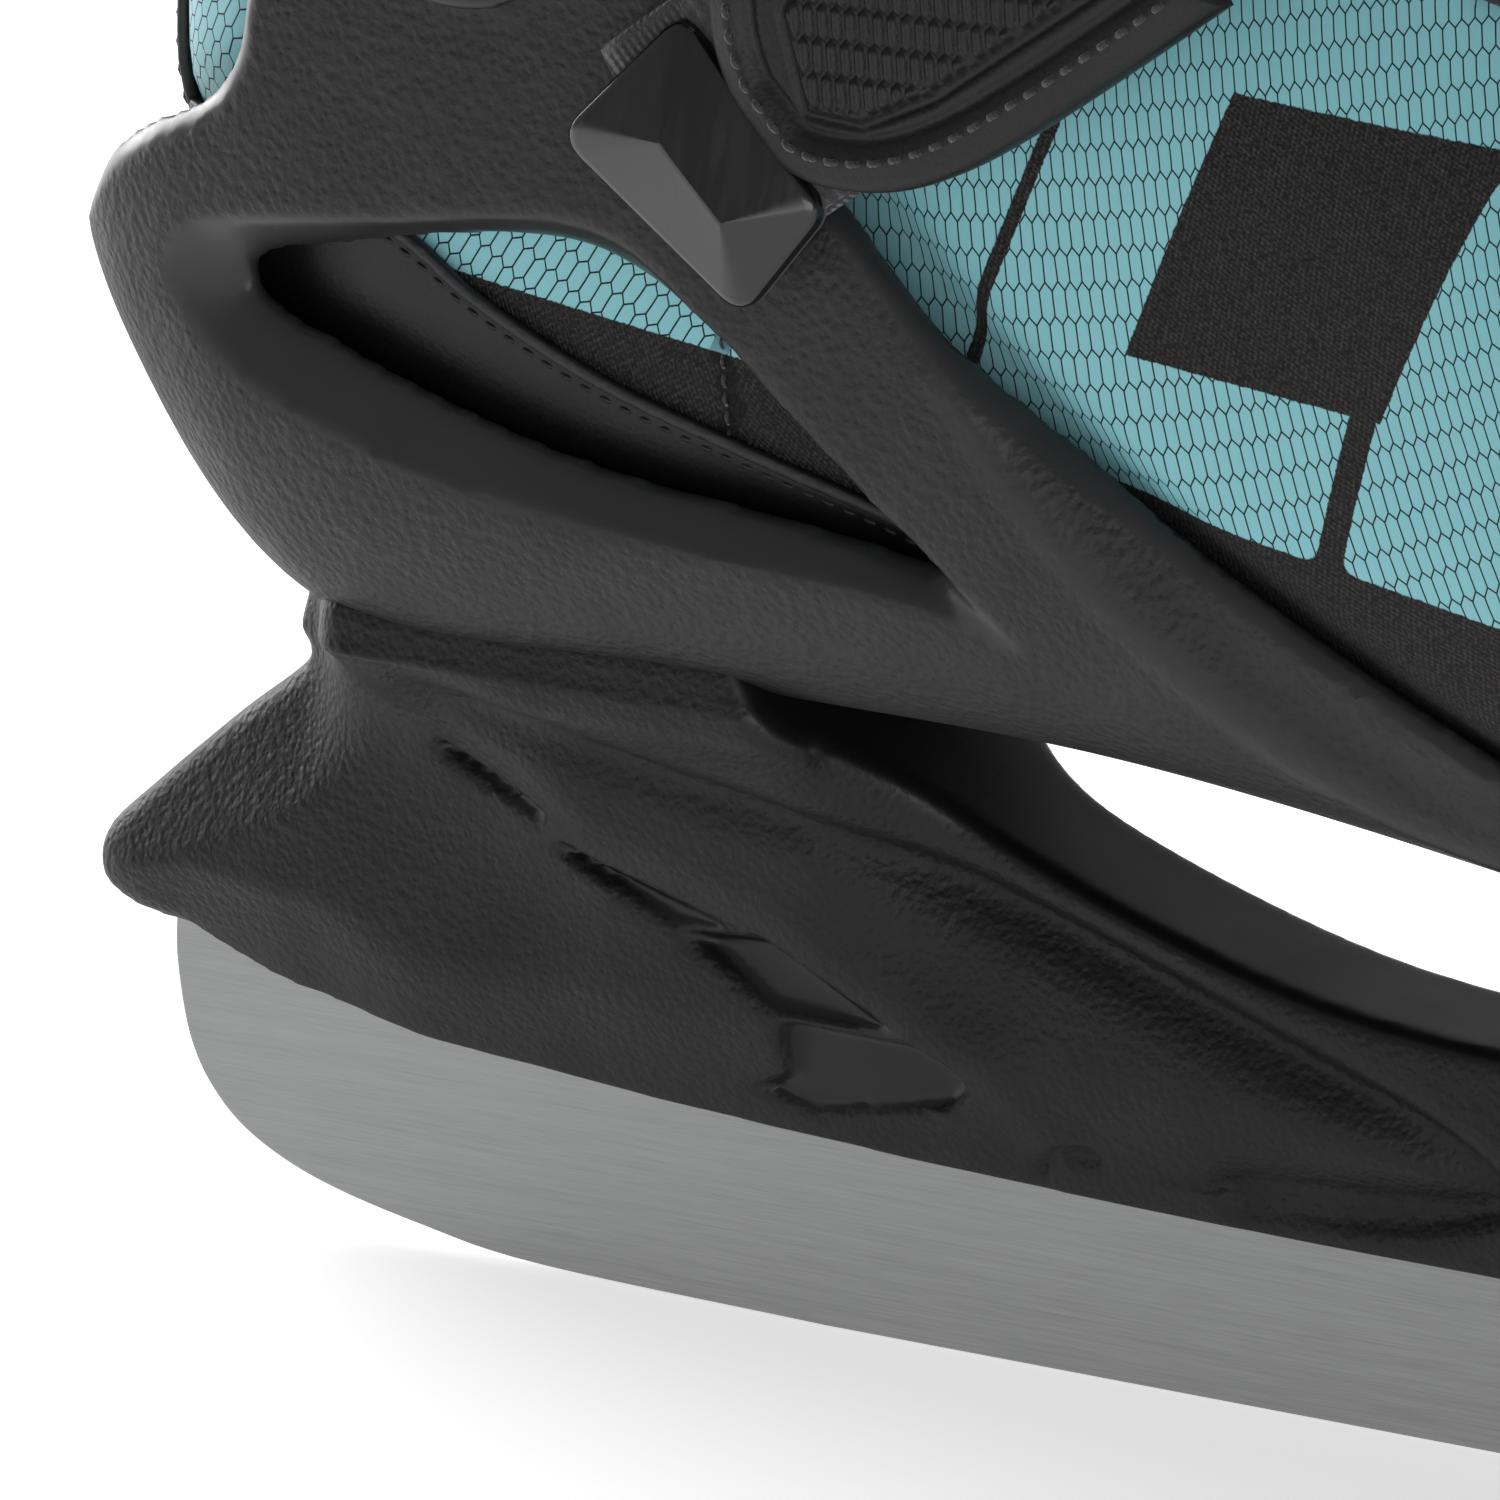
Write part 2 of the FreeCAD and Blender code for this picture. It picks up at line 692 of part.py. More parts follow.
def make_buckle():
    base = new_body("buckle_base")
    plate = base.newObject("PartDesign::Pad", "buckle_plate")
    plate.Profile = new_sketch(base, "XY_Plane", flat_edges(
        (-96, -47.4), (-96, -49.3), (-46, -49.3), (-46, -47.4)), "Sizes.buckle_low")
    plate.setExpression("Length", "Sizes.buckle_high - Sizes.buckle_low")
    doc.recompute()
    cheek = flat_edges((-95, -49), (-95, -54), (-93, -58, -88, -60.4), (-52, -61),
                       (-49.6, -60, -49, -57), (-47, -49))
    for name, offset in (("low", "Sizes.buckle_low"), ("high", "Sizes.buckle_high - 2")):
        wall = base.newObject("PartDesign::Pad", "buckle_cheek_" + name)
        wall.Profile = new_sketch(base, "XY_Plane", cheek, offset)
        wall.Length = 2
        doc.recompute()
    holes = base.newObject("PartDesign::Pocket", "buckle_pin_holes")
    pins = [Part.Circle(Vector(x, y, 0), ALONG_Z, size("pin_radius") + 0.05)
            for x, y in (LEVER_PIN, PAWL_PIN)]
    holes.Profile = new_sketch(base, "XY_Plane", pins, "Sizes.buckle_low - 1")
    holes.Length = 60
    holes.Reversed = True
    doc.recompute()
    seats = base.newObject("PartDesign::Pocket", "buckle_rivet_seats")
    places = [Part.Circle(Vector(x, MIDDLE, 0), ALONG_Z, 2.1) for x in (RIVET_BACK, RIVET_FRONT)]
    seats.Profile = new_sketch(base, "XZ_Plane", places)
    seats.Length = 60
    seats.Reversed = True
    doc.recompute()
    sinks = base.newObject("PartDesign::Pocket", "buckle_rivet_sinks")
    wide = [Part.Circle(Vector(x, MIDDLE, 0), ALONG_Z, 4.5) for x in (RIVET_BACK, RIVET_FRONT)]
    sinks.Profile = new_sketch(base, "XZ_Plane", wide, "48.4")
    sinks.Length = 1.2
    sinks.Reversed = True
    doc.recompute()

    reach = size("pin_radius") + 0.05
    x, y = LEVER_PIN
    arm = Part.Face(flat_wire((x + 3.4, y - 4), (x - 20, y - 8, x - 46, y - 5.4),
                              (x - 47.6, y - 3.6), (x - 44, y - 3.6), (x - 20, y - 5.4, x - 4, y - 3.4),
                              (x - 4, y), (x, y + 4, x + 4, y), height=LOW + 2.6))
    lever = arm.extrude(Vector(0, 0, HIGH - LOW - 5.2))
    lever = lever.cut(upright(reach, x, y, LOW, HIGH))
    finish("buckle_lever", lever)
    x, y = PAWL_PIN
    arm = Part.Face(flat_wire((x, y - 3.1), (x + 9.4, y - 1.6), (x + 9.4, y + 3.5), (x + 8.2, y + 4.3),
                              (x + 7.6, y + 1.8), (x + 2.6, y + 1.8), (x, y + 3.1, x - 3, y + 0.4),
                              (x - 20, y + 0.2), (x - 21.5, y - 1.8), (x - 3, y - 2), height=LOW + 3))
    pawl = arm.extrude(Vector(0, 0, HIGH - LOW - 6))
    pawl = pawl.cut(upright(reach, x, y, LOW, HIGH))
    pawl = pawl.cut(upright(3.9, x, y, MIDDLE - 4.2, MIDDLE + 4.2))
    finish("buckle_pawl", pawl.removeSplitter())
    for label, (x, y) in (("lever_pin", LEVER_PIN), ("pawl_pin", PAWL_PIN)):
        pin = doc.addObject("Part::Cylinder", label)
        pin.Label = label
        pin.setExpression("Radius", "Sizes.pin_radius")
        pin.setExpression("Height", "Sizes.buckle_high - Sizes.buckle_low + 1")
        pin.Placement = Placement(Vector(x, y, LOW - 0.5), Rotation())
        nodes.append(pin)
    x, y = PAWL_PIN
    coil = upright(3.2, x, y, MIDDLE - 3.6, MIDDLE + 3.6).cut(upright(2.2, x, y, LOW, HIGH))
    finish("pawl_spring", coil)


def flat_wire(start, *steps, height):
    """A closed wire seen from above, at one height."""
    edges = [edge.toShape() for edge in flat_edges(start, *steps)]
    wire = Part.Wire(edges)
    wire.translate(Vector(0, 0, height))
    return wire


def side_rivet(x, z, seat, head, inside):
    """A rivet along Y: its head outside at seat, its formed end inside."""
    way = math.copysign(1, seat)
    low, high = sorted((seat, inside))
    shank = across(2, x, z, low, high)
    outer = sorted((seat, seat + way * 1.1))
    inner = sorted((inside, inside - way * 1.1))
    return shank.fuse([across(head, x, z, *outer), across(head, x, z, *inner)]).removeSplitter()


def make_small_rivets():
    group("buckle_rivets", [side_rivet(x, MIDDLE, -48.45, 4.2, -42.1)
                            for x in (RIVET_BACK, RIVET_FRONT)])
    finish("ladder_rivet", side_rivet(LADDER_RIVET, MIDDLE, 50.2, 4.5, 42.5))


# ---------------------------------------------------------------- instep strap

STRAP_FOOT = side(-60, 127)
STRAP_REACH = 83
STRAP_HALF = 42.2
STRAP_TURN = Rotation(ALONG_Y, -size("strap_angle"))
STRAP_RIVET_UP = 6
STRAP_RIVET = STRAP_FOOT + STRAP_TURN.multVec(Vector(STRAP_RIVET_UP, 0, 0))


def strap_place():
    """The strap's own frame: X up along the strap, Y across the boot, Z its width."""
    return Placement(STRAP_FOOT, STRAP_TURN)


def strap_loop(extra, thick, width):
    """A band that goes up one side of the boot, over the instep and down the other."""
    band = u_shape(0, 34, STRAP_REACH + extra, 0, STRAP_HALF + extra, thick, -width / 2)
    return band.extrude(Vector(0, 0, width))


def make_instep_strap():
    width = size("webbing_width")
    thick = size("webbing_thickness")
    base = strap_loop(0, thick, width)
    base = base.cut(across(2.1, STRAP_RIVET_UP, 0, -60, 0)).cut(block(-10, 14, 0, 80, -40, 40))
    finish("strap_webbing", base, strap_place())

    top = strap_loop(thick + 0.4, 2.6, width)
    hinge = 62
    top = top.cut(block(-10, hinge, -80, 0, -40, 40)).cut(block(-10, 14, 0, 80, -40, 40))
    finish("strap_return", top, strap_place())

    end = strap_loop(thick + 0.4, 4.2, size("strap_end_width"))
    end = end.common(block(14, hinge - 0.5, -80, 0, -40, 40))
    finish("strap_end", end, strap_place())


def make_strap_fixings():
    cap_low = [Vector(x, -44.9, z) for x, z in ((-14, -8), (-10, -10), (10, -10), (13, -7),
                                               (13, 7), (10, 10), (-10, 10), (-14, 8))]
    cap_high = [Vector(x * 0.3, -49.2, z * 0.16) for x, y, z in cap_low]
    cap = Part.makeLoft([Part.makePolygon(ring + ring[:1]) for ring in (cap_low, cap_high)],
                        True, True)
    finish("strap_cap", cap, Placement(STRAP_FOOT, Rotation(ALONG_Y, 41)))

    rivets = []
    for low, high in ((-44.7, -37.7), (37.7, 44.7)):
        rivets.append(across(2, STRAP_RIVET.x, STRAP_RIVET.z, low, high))
    group("strap_rivets", rivets)

    ring = block(0, 13, 42.6, 46.4, -17, 17).cut(block(4, 9, 40, 50, -13.5, 13.5))
    finish("strap_ring", ring, strap_place())


make_blade()
make_holder()
make_blade_fixings()
make_shell()
make_rivets()
make_boot()
make_tongue()
make_boot_trim()
make_cuff()
make_pivots()
make_ladder_strap()
make_buckle()
make_small_rivets()
make_instep_strap()
make_strap_fixings()

# ---------------------------------------------------------------- check and write

doc.recompute()
for item in doc.Objects:
    if "Invalid" in item.State or "Error" in item.State:
        raise RuntimeError("failed object: " + item.Label)
os.makedirs("parts", exist_ok=True)
for node in nodes:
    shape = node.Shape
    if shape.isNull() or not shape.isValid():
        raise RuntimeError("bad shape: " + node.Label)
    shape.exportStep("parts/%s.step" % node.Label)
    box = shape.BoundBox
    print("%-16s solids %2d volume %9.0f  x %7.1f %7.1f  y %6.1f %6.1f  z %6.1f %6.1f" % (
        node.Label, len(shape.Solids), shape.Volume, box.XMin, box.XMax, box.YMin, box.YMax,
        box.ZMin, box.ZMax))
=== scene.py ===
import math

import bmesh
import bpy
import numpy as np
import openvdb
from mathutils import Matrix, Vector
from mathutils.bvhtree import BVHTree


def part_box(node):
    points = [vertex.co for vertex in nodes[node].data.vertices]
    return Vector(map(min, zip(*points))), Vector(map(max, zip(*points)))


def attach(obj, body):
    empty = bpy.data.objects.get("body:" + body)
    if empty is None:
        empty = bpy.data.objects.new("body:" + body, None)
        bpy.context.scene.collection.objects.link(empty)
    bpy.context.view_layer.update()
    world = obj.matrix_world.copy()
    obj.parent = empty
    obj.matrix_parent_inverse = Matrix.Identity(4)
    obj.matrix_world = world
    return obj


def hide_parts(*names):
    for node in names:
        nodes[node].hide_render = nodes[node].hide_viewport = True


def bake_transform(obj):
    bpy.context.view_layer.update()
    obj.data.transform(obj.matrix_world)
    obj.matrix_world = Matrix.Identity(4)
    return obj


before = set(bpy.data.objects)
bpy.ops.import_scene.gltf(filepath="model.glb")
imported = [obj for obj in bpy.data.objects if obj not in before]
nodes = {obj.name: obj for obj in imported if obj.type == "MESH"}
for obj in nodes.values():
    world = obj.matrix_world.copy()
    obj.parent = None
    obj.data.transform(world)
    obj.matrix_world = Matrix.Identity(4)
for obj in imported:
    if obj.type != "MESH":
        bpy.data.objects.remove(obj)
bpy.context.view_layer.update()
scene = bpy.context.scene
MM = 0.001

# Driving sizes, in millimetres in the frame's own axes.
WALL = 3.0                          # shell and cuff
PIVOT = (-84.0, 152.0)              # X and Z of the ankle joint
STRAP_FOOT = (-60.0, 0.0, 127.0)    # where the instep strap is riveted on
STRAP_TILT = math.radians(36)
HEEL_X = -95.0                      # axis of the boot's round heel
HEEL_ROUND = 36.0                   # radius by which places round the heel are counted
HEEL_ARC = math.pi * HEEL_ROUND
HEEL_MIDDLE = HEEL_X - HEEL_ARC / 2


# ------------------------------------------------------------------ small tools

def piece(name, points, faces, material, body=None, scale=MM, flat=False):
    """A mesh object from points in millimetres."""
    mesh = bpy.data.meshes.new(name)
    mesh.from_pydata([tuple(point) for point in np.asarray(points, float) * scale], [],
                     [tuple(int(i) for i in face) for face in faces])
    mesh.validate()
    if not flat:
        mesh.polygons.foreach_set("use_smooth", [True] * len(mesh.polygons))
    obj = bpy.data.objects.new(name, mesh)
    scene.collection.objects.link(obj)
    mesh.materials.append(material)
    if body:
        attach(obj, body)
    return obj


def attribute(obj, name, values):
    """One number for each vertex, for the materials to read."""
    layer = obj.data.attributes.new(name, "FLOAT", "POINT")
    layer.data.foreach_set("value", np.asarray(values, np.float32))


def applied(obj, kind, **settings):
    """Adds one modifier with these settings and bakes it into the mesh."""
    modifier = obj.modifiers.new(kind.lower(), kind)
    for key, value in settings.items():
        setattr(modifier, key, value)
    graph = bpy.context.evaluated_depsgraph_get()
    shaped = bpy.data.meshes.new_from_object(obj.evaluated_get(graph))
    obj.modifiers.remove(modifier)
    obj.data = shaped
    return obj


def joined(name, parts):
    """Several objects as one."""
    made = bmesh.new()
    for part in parts:
        made.from_mesh(part.data)
    parts[0].data.clear_geometry()
    made.to_mesh(parts[0].data)
    made.free()
    for part in parts[1:]:
        bpy.data.objects.remove(part)
    parts[0].name = name
    return parts[0]


def grid_faces(rows, columns, closed=False):
    """Quads over a grid of points, row after row."""
    faces = []
    for row in range(rows - 1):
        for column in range(columns if closed else columns - 1):
            after = (column + 1) % columns
            faces.append((row * columns + column, row * columns + after,
                          (row + 1) * columns + after, (row + 1) * columns + column))
    return faces


def polyline_distance(x, z, line, closed=True):
    """Distance to an outline in the side view, negative inside a closed one."""
    best = np.full(np.shape(x), 1e9)
    inside = np.zeros(np.shape(x), bool)
    line = list(line)
    ends = line[1:] + line[:1] if closed else line[1:]
    for (ax, az), (bx, bz) in zip(line, ends):
        ux = bx - ax
        uz = bz - az
        if not ux and not uz:
            continue
        share = np.clip(((x - ax) * ux + (z - az) * uz) / (ux * ux + uz * uz), 0, 1)
        best = np.minimum(best, np.hypot(x - ax - share * ux, z - az - share * uz))
        if closed and az != bz:
            crossing = (az > z) != (bz > z)
            inside ^= crossing & (x < ax + (z - az) * ux / uz)
    return np.where(inside, -best, best)


def smooth_line(points, steps=8, closed=False):
    """Points on a Catmull-Rom curve through the given ones."""
    points = [np.array(point, float) for point in points]
    count = len(points)
    line = []
    for index in range(count if closed else count - 1):
        if closed:
            a, b, c, d = (points[(index + shift) % count] for shift in (-1, 0, 1, 2))
        else:
            b, c = points[index], points[index + 1]
            a = points[index - 1] if index else 2 * b - c
            d = points[index + 2] if index + 2 < count else 2 * c - b
        for step in range(steps):
            t = step / steps
            line.append(0.5 * (2 * b + (c - a) * t + (2 * a - 5 * b + 4 * c - d) * t ** 2
                               + (3 * b - a - 3 * c + d) * t ** 3))
    if not closed:
        line.append(points[-1])
    return np.array(line)


def ramp(value, low, high):
    """0 below low, 1 above high, smooth between."""
    share = np.clip((value - low) / (high - low), 0, 1)
    return share * share * (3 - 2 * share)


# ------------------------------------------------------------------ forms that fan out from the toe

SHELL_FORM = [((154, 88), (154, 70), 18), ((148, 101), (147, 61), 34),
              ((122, 116), (124, 56.2), 43.5), ((86, 130), (92, 54.8), 48),
              ((52, 146), (58, 55.8), 47.5), ((22, 164), (18, 61.5), 43.5),
              ((0, 182), (-28, 66), 41), ((-8, 200), (-72, 66.5), 40.5),
              ((-10, 212), (-117, 67.5), 40.5), ((-12, 222), (-140, 90.5), 40.5),
              ((-14, 236), (-146.5, 116.5), 40.5), ((-16, 252), (-140, 162.5), 40.5)]
BOOT_FORM = [((148, 91), (148, 71), 19), ((143, 97), (141, 66), 28),
             ((119, 111), (121, 60), 39), ((84, 124), (90, 58.6), 44),
             ((50, 140), (56, 59.6), 43), ((19, 158), (18, 65.5), 39),
             ((-3, 176), (-28, 70.1), 35.6), ((-11, 191), (-72, 70.4), 34.2),
             ((-14, 203), (-113, 72.6), 34), ((-16, 214), (-132, 98.5), 34.4),
             ((-19, 228), (-133.5, 142.5), 36), ((-22, 246), (-124.5, 188.5), 38.8),
             ((-26, 284), (-111.5, 275.5), 42.4), ((-27, 298), (-110.5, 298), 42.8)]
CUFF_FORM = [((2, 112), (-143, 112), 45.6), ((2, 150), (-139.5, 150), 45.6),
             ((-2, 172), (-136, 172), 45.6), ((-8, 200), (-131, 200), 46.2),
             ((-12, 244), (-123, 244), 46.8), ((-16, 276), (-117, 276), 49)]


def section(form, u):
    """Top, bottom and half-width of a form at u, counted in its listed sections."""
    index = int(min(max(u, 0), len(form) - 1.0001))
    t = u - index
    rows = [np.array([*top, *bottom, half], float) for top, bottom, half in form]
    b, c = rows[index], rows[index + 1]
    a = rows[index - 1] if index else b
    d = rows[index + 2] if index + 2 < len(rows) else c
    row = 0.5 * (2 * b + (c - a) * t + (2 * a - 5 * b + 4 * c - d) * t ** 2
                 + (3 * b - a - 3 * c + d) * t ** 3)
    return row[:2], row[2:4], row[4]


def ring(form, u, angles, grow=0.0, top=2.2, bottom=3.0):
    """Points round a form at u. The angle is 0 at the top and goes round by +Y."""
    high, low, half = section(form, u)
    middle = (high + low) / 2
    axis = (high - low) / np.linalg.norm(high - low)
    tall = np.linalg.norm(high - low) / 2 + grow
    up = np.cos(angles)
    out = np.sin(angles)
    power = 2 / np.where(up > 0, top, bottom)
    along = tall * np.sign(up) * np.abs(up) ** power
    wide = (half + grow) * np.sign(out) * np.abs(out) ** power
    return np.stack([middle[0] + axis[0] * along, wide, middle[1] + axis[1] * along], 1)


def closed_form(form, top=2.2, bottom=3.0, rows=90, columns=120):
    """A capped form as points and quads, for a distance field."""
    angles = np.arange(columns) / columns * 2 * math.pi
    points = []
    for row in range(rows):
        u = row / (rows - 1) * (len(form) - 1)
        points.append(ring(form, u, angles, 0.0, top, bottom))
    faces = grid_faces(rows, columns, closed=True)
    middles = [points[0].mean(0), points[-1].mean(0)]
    stack = np.concatenate(points + [np.array(middles)])
    first = rows * columns
    for column in range(columns):
        after = (column + 1) % columns
        faces.append((after, column, first, first))
        last = (rows - 1) * columns
        faces.append((last + column, last + after, first + 1, first + 1))
    return stack, faces


class Field:
    """A box of signed distances in millimetres, negative inside."""

    def __init__(self, low, high, step):
        self.low = np.array(low, float)
        self.step = step
        self.size = tuple(int(math.ceil((b - a) / step)) + 1 for a, b in zip(low, high))
        lines = [self.low[i] + step * np.arange(self.size[i]) for i in range(3)]
        self.x, self.y, self.z = (lines[0][:, None, None], lines[1][None, :, None],
                                  lines[2][None, None, :])
        self.side_x, self.side_z = np.meshgrid(lines[0], lines[2], indexing="ij")

    def of_form(self, points, faces, band=12):
        """Distances to a closed mesh."""
        local = ((points - self.low) / self.step).astype(np.float32)
        triangles = []
        quads = []
        for a, b, c, d in faces:
            (triangles if c == d else quads).append((a, b, c) if c == d else (a, b, c, d))
        grid = openvdb.FloatGrid.createLevelSetFromPolygons(
            local, triangles=np.array(triangles, np.uint32), quads=np.array(quads, np.uint32),
            transform=openvdb.createLinearTransform(voxelSize=1.0), halfWidth=float(band))
        distances = np.zeros(self.size, np.float32)
        grid.copyToArray(distances, ijk=(0, 0, 0))
        return distances * self.step

    def side(self, values):
        """A side-view field spread across the width."""
        return values[:, None, :].astype(np.float32)

    def mesh(self, name, distances, material, body, smooth_steps=3):
        """A smoothed piece from distances on this grid, and where its points are."""
        distances = np.clip(distances, -4 * self.step, 4 * self.step)
        for axis in range(3):
            edge = [slice(None)] * 3
            for end in (0, -1):
                edge[axis] = end
                distances[tuple(edge)] = 4 * self.step
        grid = openvdb.FloatGrid(4 * self.step)
        grid.copyFromArray(distances.astype(np.float32))
        points, quads = grid.convertToQuads(0.0)
        obj = piece(name, points * self.step + self.low, quads[:, ::-1], material)
        applied(obj, "SMOOTH", factor=0.5, iterations=smooth_steps)
        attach(obj, body)
        return obj, np.array([vertex.co for vertex in obj.data.vertices]) / MM


def softly(a, b, room):
    """The larger of two distances, with the edge between them cut at 45 degrees."""
    return np.maximum(np.maximum(a, b), (a + b + room) * 0.7071)


def smooth_max(a, b, room):
    """The larger of two distances, with the edge between them rounded."""
    share = np.clip(0.5 - 0.5 * (b - a) / room, 0, 1)
    return b + (a - b) * share + room * share * (1 - share)


# ------------------------------------------------------------------ materials

class Paint:
    """A material's node tree, with short ways to add to it."""

    def __init__(self, name, colour, roughness, **constants):
        self.material = bpy.data.materials.new(name)
        self.material.use_nodes = True
        self.tree = self.material.node_tree
        self.shader = self.tree.nodes["Principled BSDF"]
        self.set("Base Color", (*colour, 1))
        self.set("Roughness", roughness)
        for key, value in constants.items():
            self.set(key.replace("_", " "), value)
        self.place = self.node("ShaderNodeTexCoord").outputs["Object"]

    def set(self, socket, value):
        target = self.shader.inputs[socket]
        if hasattr(value, "is_output"):
            self.tree.links.new(value, target)
        else:
            target.default_value = value

    def node(self, kind, inputs=(), **settings):
        made = self.tree.nodes.new(kind)
        for key, value in settings.items():
            setattr(made, key, value)
        for key, value in dict(inputs).items():
            if hasattr(value, "is_output"):
                self.tree.links.new(value, made.inputs[key])
            else:
                made.inputs[key].default_value = value
        return made

    def math(self, kind, a, b=0.0, c=0.0):
        return self.node("ShaderNodeMath", {0: a, 1: b, 2: c}, operation=kind).outputs[0]

    def attribute(self, name):
        return self.node("ShaderNodeAttribute", attribute_name=name).outputs["Fac"]

    def stretched(self, scale):
        return self.node("ShaderNodeMapping", {"Vector": self.place, "Scale": scale}).outputs[0]

    def noise(self, scale, detail=3.0, place=None, rough=0.5):
        return self.node("ShaderNodeTexNoise", {"Vector": place or self.place, "Scale": scale,
                                                "Detail": detail,
                                                "Roughness": rough}).outputs["Fac"]

    def cells(self, scale):
        return self.node("ShaderNodeTexVoronoi", {"Vector": self.place, "Scale": scale},
                         feature="SMOOTH_F1").outputs["Distance"]

    def mapped(self, value, low, high, out_low, out_high, smooth=False):
        kind = "SMOOTHSTEP" if smooth else "LINEAR"
        return self.node("ShaderNodeMapRange", {"Value": value, "From Min": low, "From Max": high,
                                                "To Min": out_low, "To Max": out_high},
                         interpolation_type=kind).outputs[0]

    def mix(self, share, first, second):
        made = self.node("ShaderNodeMix", data_type="RGBA")
        for key, value in ((0, share), (6, first), (7, second)):
            target = made.inputs[key]
            if hasattr(value, "is_output"):
                self.tree.links.new(value, target)
            else:
                target.default_value = (*value, 1) if isinstance(value, tuple) else value
        return made.outputs[2]

    def bump(self, height, depth, strength=1.0):
        """Bump from a height of 0 to 1, this many metres deep."""
        made = self.node("ShaderNodeBump", {"Height": height, "Distance": depth,
                                            "Strength": strength})
        self.set("Normal", made.outputs[0])

    def vary(self, colour, amount=0.2, scale=40.0):
        """The base colour with a gentle uneven tone."""
        low = tuple(part * (1 - amount) for part in colour)
        high = tuple(part * (1 + amount) for part in colour)
        self.set("Base Color", self.mix(self.noise(scale, 4.0), low, high))


def grained(name, colour, scale=1150.0, depth=0.00013, smooth_highlight_colour=None, rough=0.52):
    """Moulded plastic with a fine leather grain, left smooth where 'smooth' is 1. The grain's hollows
    are painted darker as painted shade, and the smooth places are painted in a lighter colour as a
    painted highlight.
    """
    paint = Paint(name, colour, rough, Specular_IOR_Level=0.3)
    grain = paint.math("MULTIPLY", paint.cells(scale), 0.9)
    grain = paint.math("ADD", grain, paint.math("MULTIPLY", paint.noise(scale * 1.7, 2.0), 0.5))
    smooth = paint.attribute("smooth")
    depth_here = paint.math("SUBTRACT", 1.0, smooth)
    bump = paint.node("ShaderNodeBump", {"Height": grain, "Distance": depth,
                                         "Strength": paint.math("MULTIPLY", depth_here, 0.95)})
    paint.set("Normal", bump.outputs[0])
    low = tuple(part * 0.82 for part in colour)
    high = tuple(part * 1.22 for part in colour)
    toned = paint.mix(paint.noise(35.0, 5.0), low, high)
    # painted shade: the colour follows the grain's height, darker in its hollows and lighter on its
    # ridges
    grain_shade = paint.mapped(grain, 0.25, 0.85, 0.8, 1.15)
    grey = paint.node("ShaderNodeCombineColor", {0: grain_shade, 1: grain_shade, 2: grain_shade}).outputs[0]
    shaded = paint.node("ShaderNodeMix", data_type="RGBA", blend_type="MULTIPLY")
    shaded.inputs[0].default_value = 1.0
    paint.tree.links.new(toned, shaded.inputs[6])
    paint.tree.links.new(grey, shaded.inputs[7])
    # painted highlight: the smooth places take a lighter colour than the grained plastic
    paint.set("Base Color", paint.mix(smooth, shaded.outputs[2], smooth_highlight_colour or colour))
    uneven = paint.mapped(paint.noise(90.0, 4.0), 0.3, 0.7, rough - 0.05, rough + 0.06)
    paint.set("Roughness", paint.math("SUBTRACT", uneven, paint.math("MULTIPLY", smooth, 0.22)))
    return paint.material


def glossy(name, colour, rough):
    """Polished plastic with faint moulding waves and small rubs."""
    paint = Paint(name, colour, rough, Coat_Weight=0.2, Coat_Roughness=0.1)
    paint.vary(colour, 0.3, 60.0)
    scratch = paint.noise(900.0, 2.0, paint.stretched((1, 0.2, 0.15)))
    paint.set("Roughness", paint.mapped(scratch, 0.45, 0.75, rough, rough + 0.12))
    paint.bump(paint.noise(120.0, 2.0), 0.00004)
    return paint.material


def brushed(name, colour, rough, stretch=(0.02, 1, 1), scale=5200.0, contrast=0.16):
    """Steel with fine brush lines along X."""
    paint = Paint(name, colour, rough, Metallic=1.0)
    lines = paint.noise(scale, 2.0, paint.stretched(stretch), 0.6)
    broad = paint.noise(scale / 9, 3.0, paint.stretched(stretch))
    both = paint.math("ADD", paint.math("MULTIPLY", lines, 0.7), paint.math("MULTIPLY", broad, 0.4))
    low = tuple(part * (1 - contrast) for part in colour)
    high = tuple(part * (1 + contrast) for part in colour)
    paint.set("Base Color", paint.mix(paint.mapped(both, 0.38, 0.72, 0.0, 1.0), low, high))
    paint.set("Roughness", paint.mapped(both, 0.4, 0.7, rough - 0.06, rough + 0.1))
    paint.bump(both, 0.00003, 0.6)
    return paint.material


def leather(name, colour, rough, depth):
    """Fine creased hide: small cells with soft valleys between them."""
    paint = Paint(name, colour, rough, Specular_IOR_Level=0.45)
    height = paint.math("ADD", paint.cells(850.0), paint.math("MULTIPLY", paint.noise(1500.0), 0.5))
    paint.vary(colour, 0.3, 50.0)
    paint.bump(height, depth)
    return paint.material


def woven(name, colour, scale, depth, rough=0.75, ribs=(1, 1, 1)):
    """A close weave: two crossed waves, lifted where the threads pass over."""
    paint = Paint(name, colour, rough, Sheen_Weight=0.3, Specular_IOR_Level=0.3)
    parts = []
    for axis, stretch in enumerate(ribs):
        part = paint.node("ShaderNodeSeparateXYZ", {0: paint.place}).outputs[axis]
        parts.append(paint.math("SINE", paint.math("MULTIPLY", part, scale * 4 * stretch)))
    product = paint.math("MULTIPLY", paint.math("MULTIPLY", parts[0], parts[2]), parts[1])
    height = paint.math("ADD", paint.mapped(product, -1, 1, 0, 1),
                        paint.math("MULTIPLY", paint.noise(2200.0, 2.0), 0.5))
    low = tuple(part * 0.55 for part in colour)
    high = tuple(part * 1.4 for part in colour)
    # painted shade and highlight: the colour is darker in the valleys between the threads and lighter
    # on their raised tops
    paint.set("Base Color", paint.mix(height, low, high))
    paint.bump(height, depth)
    return paint.material


# The netting's cells in millimetres, and how steeply their ends come to a point.
CELL_WIDE = 1.53
CELL_TALL = 3.25
CELL_POINT = 0.26

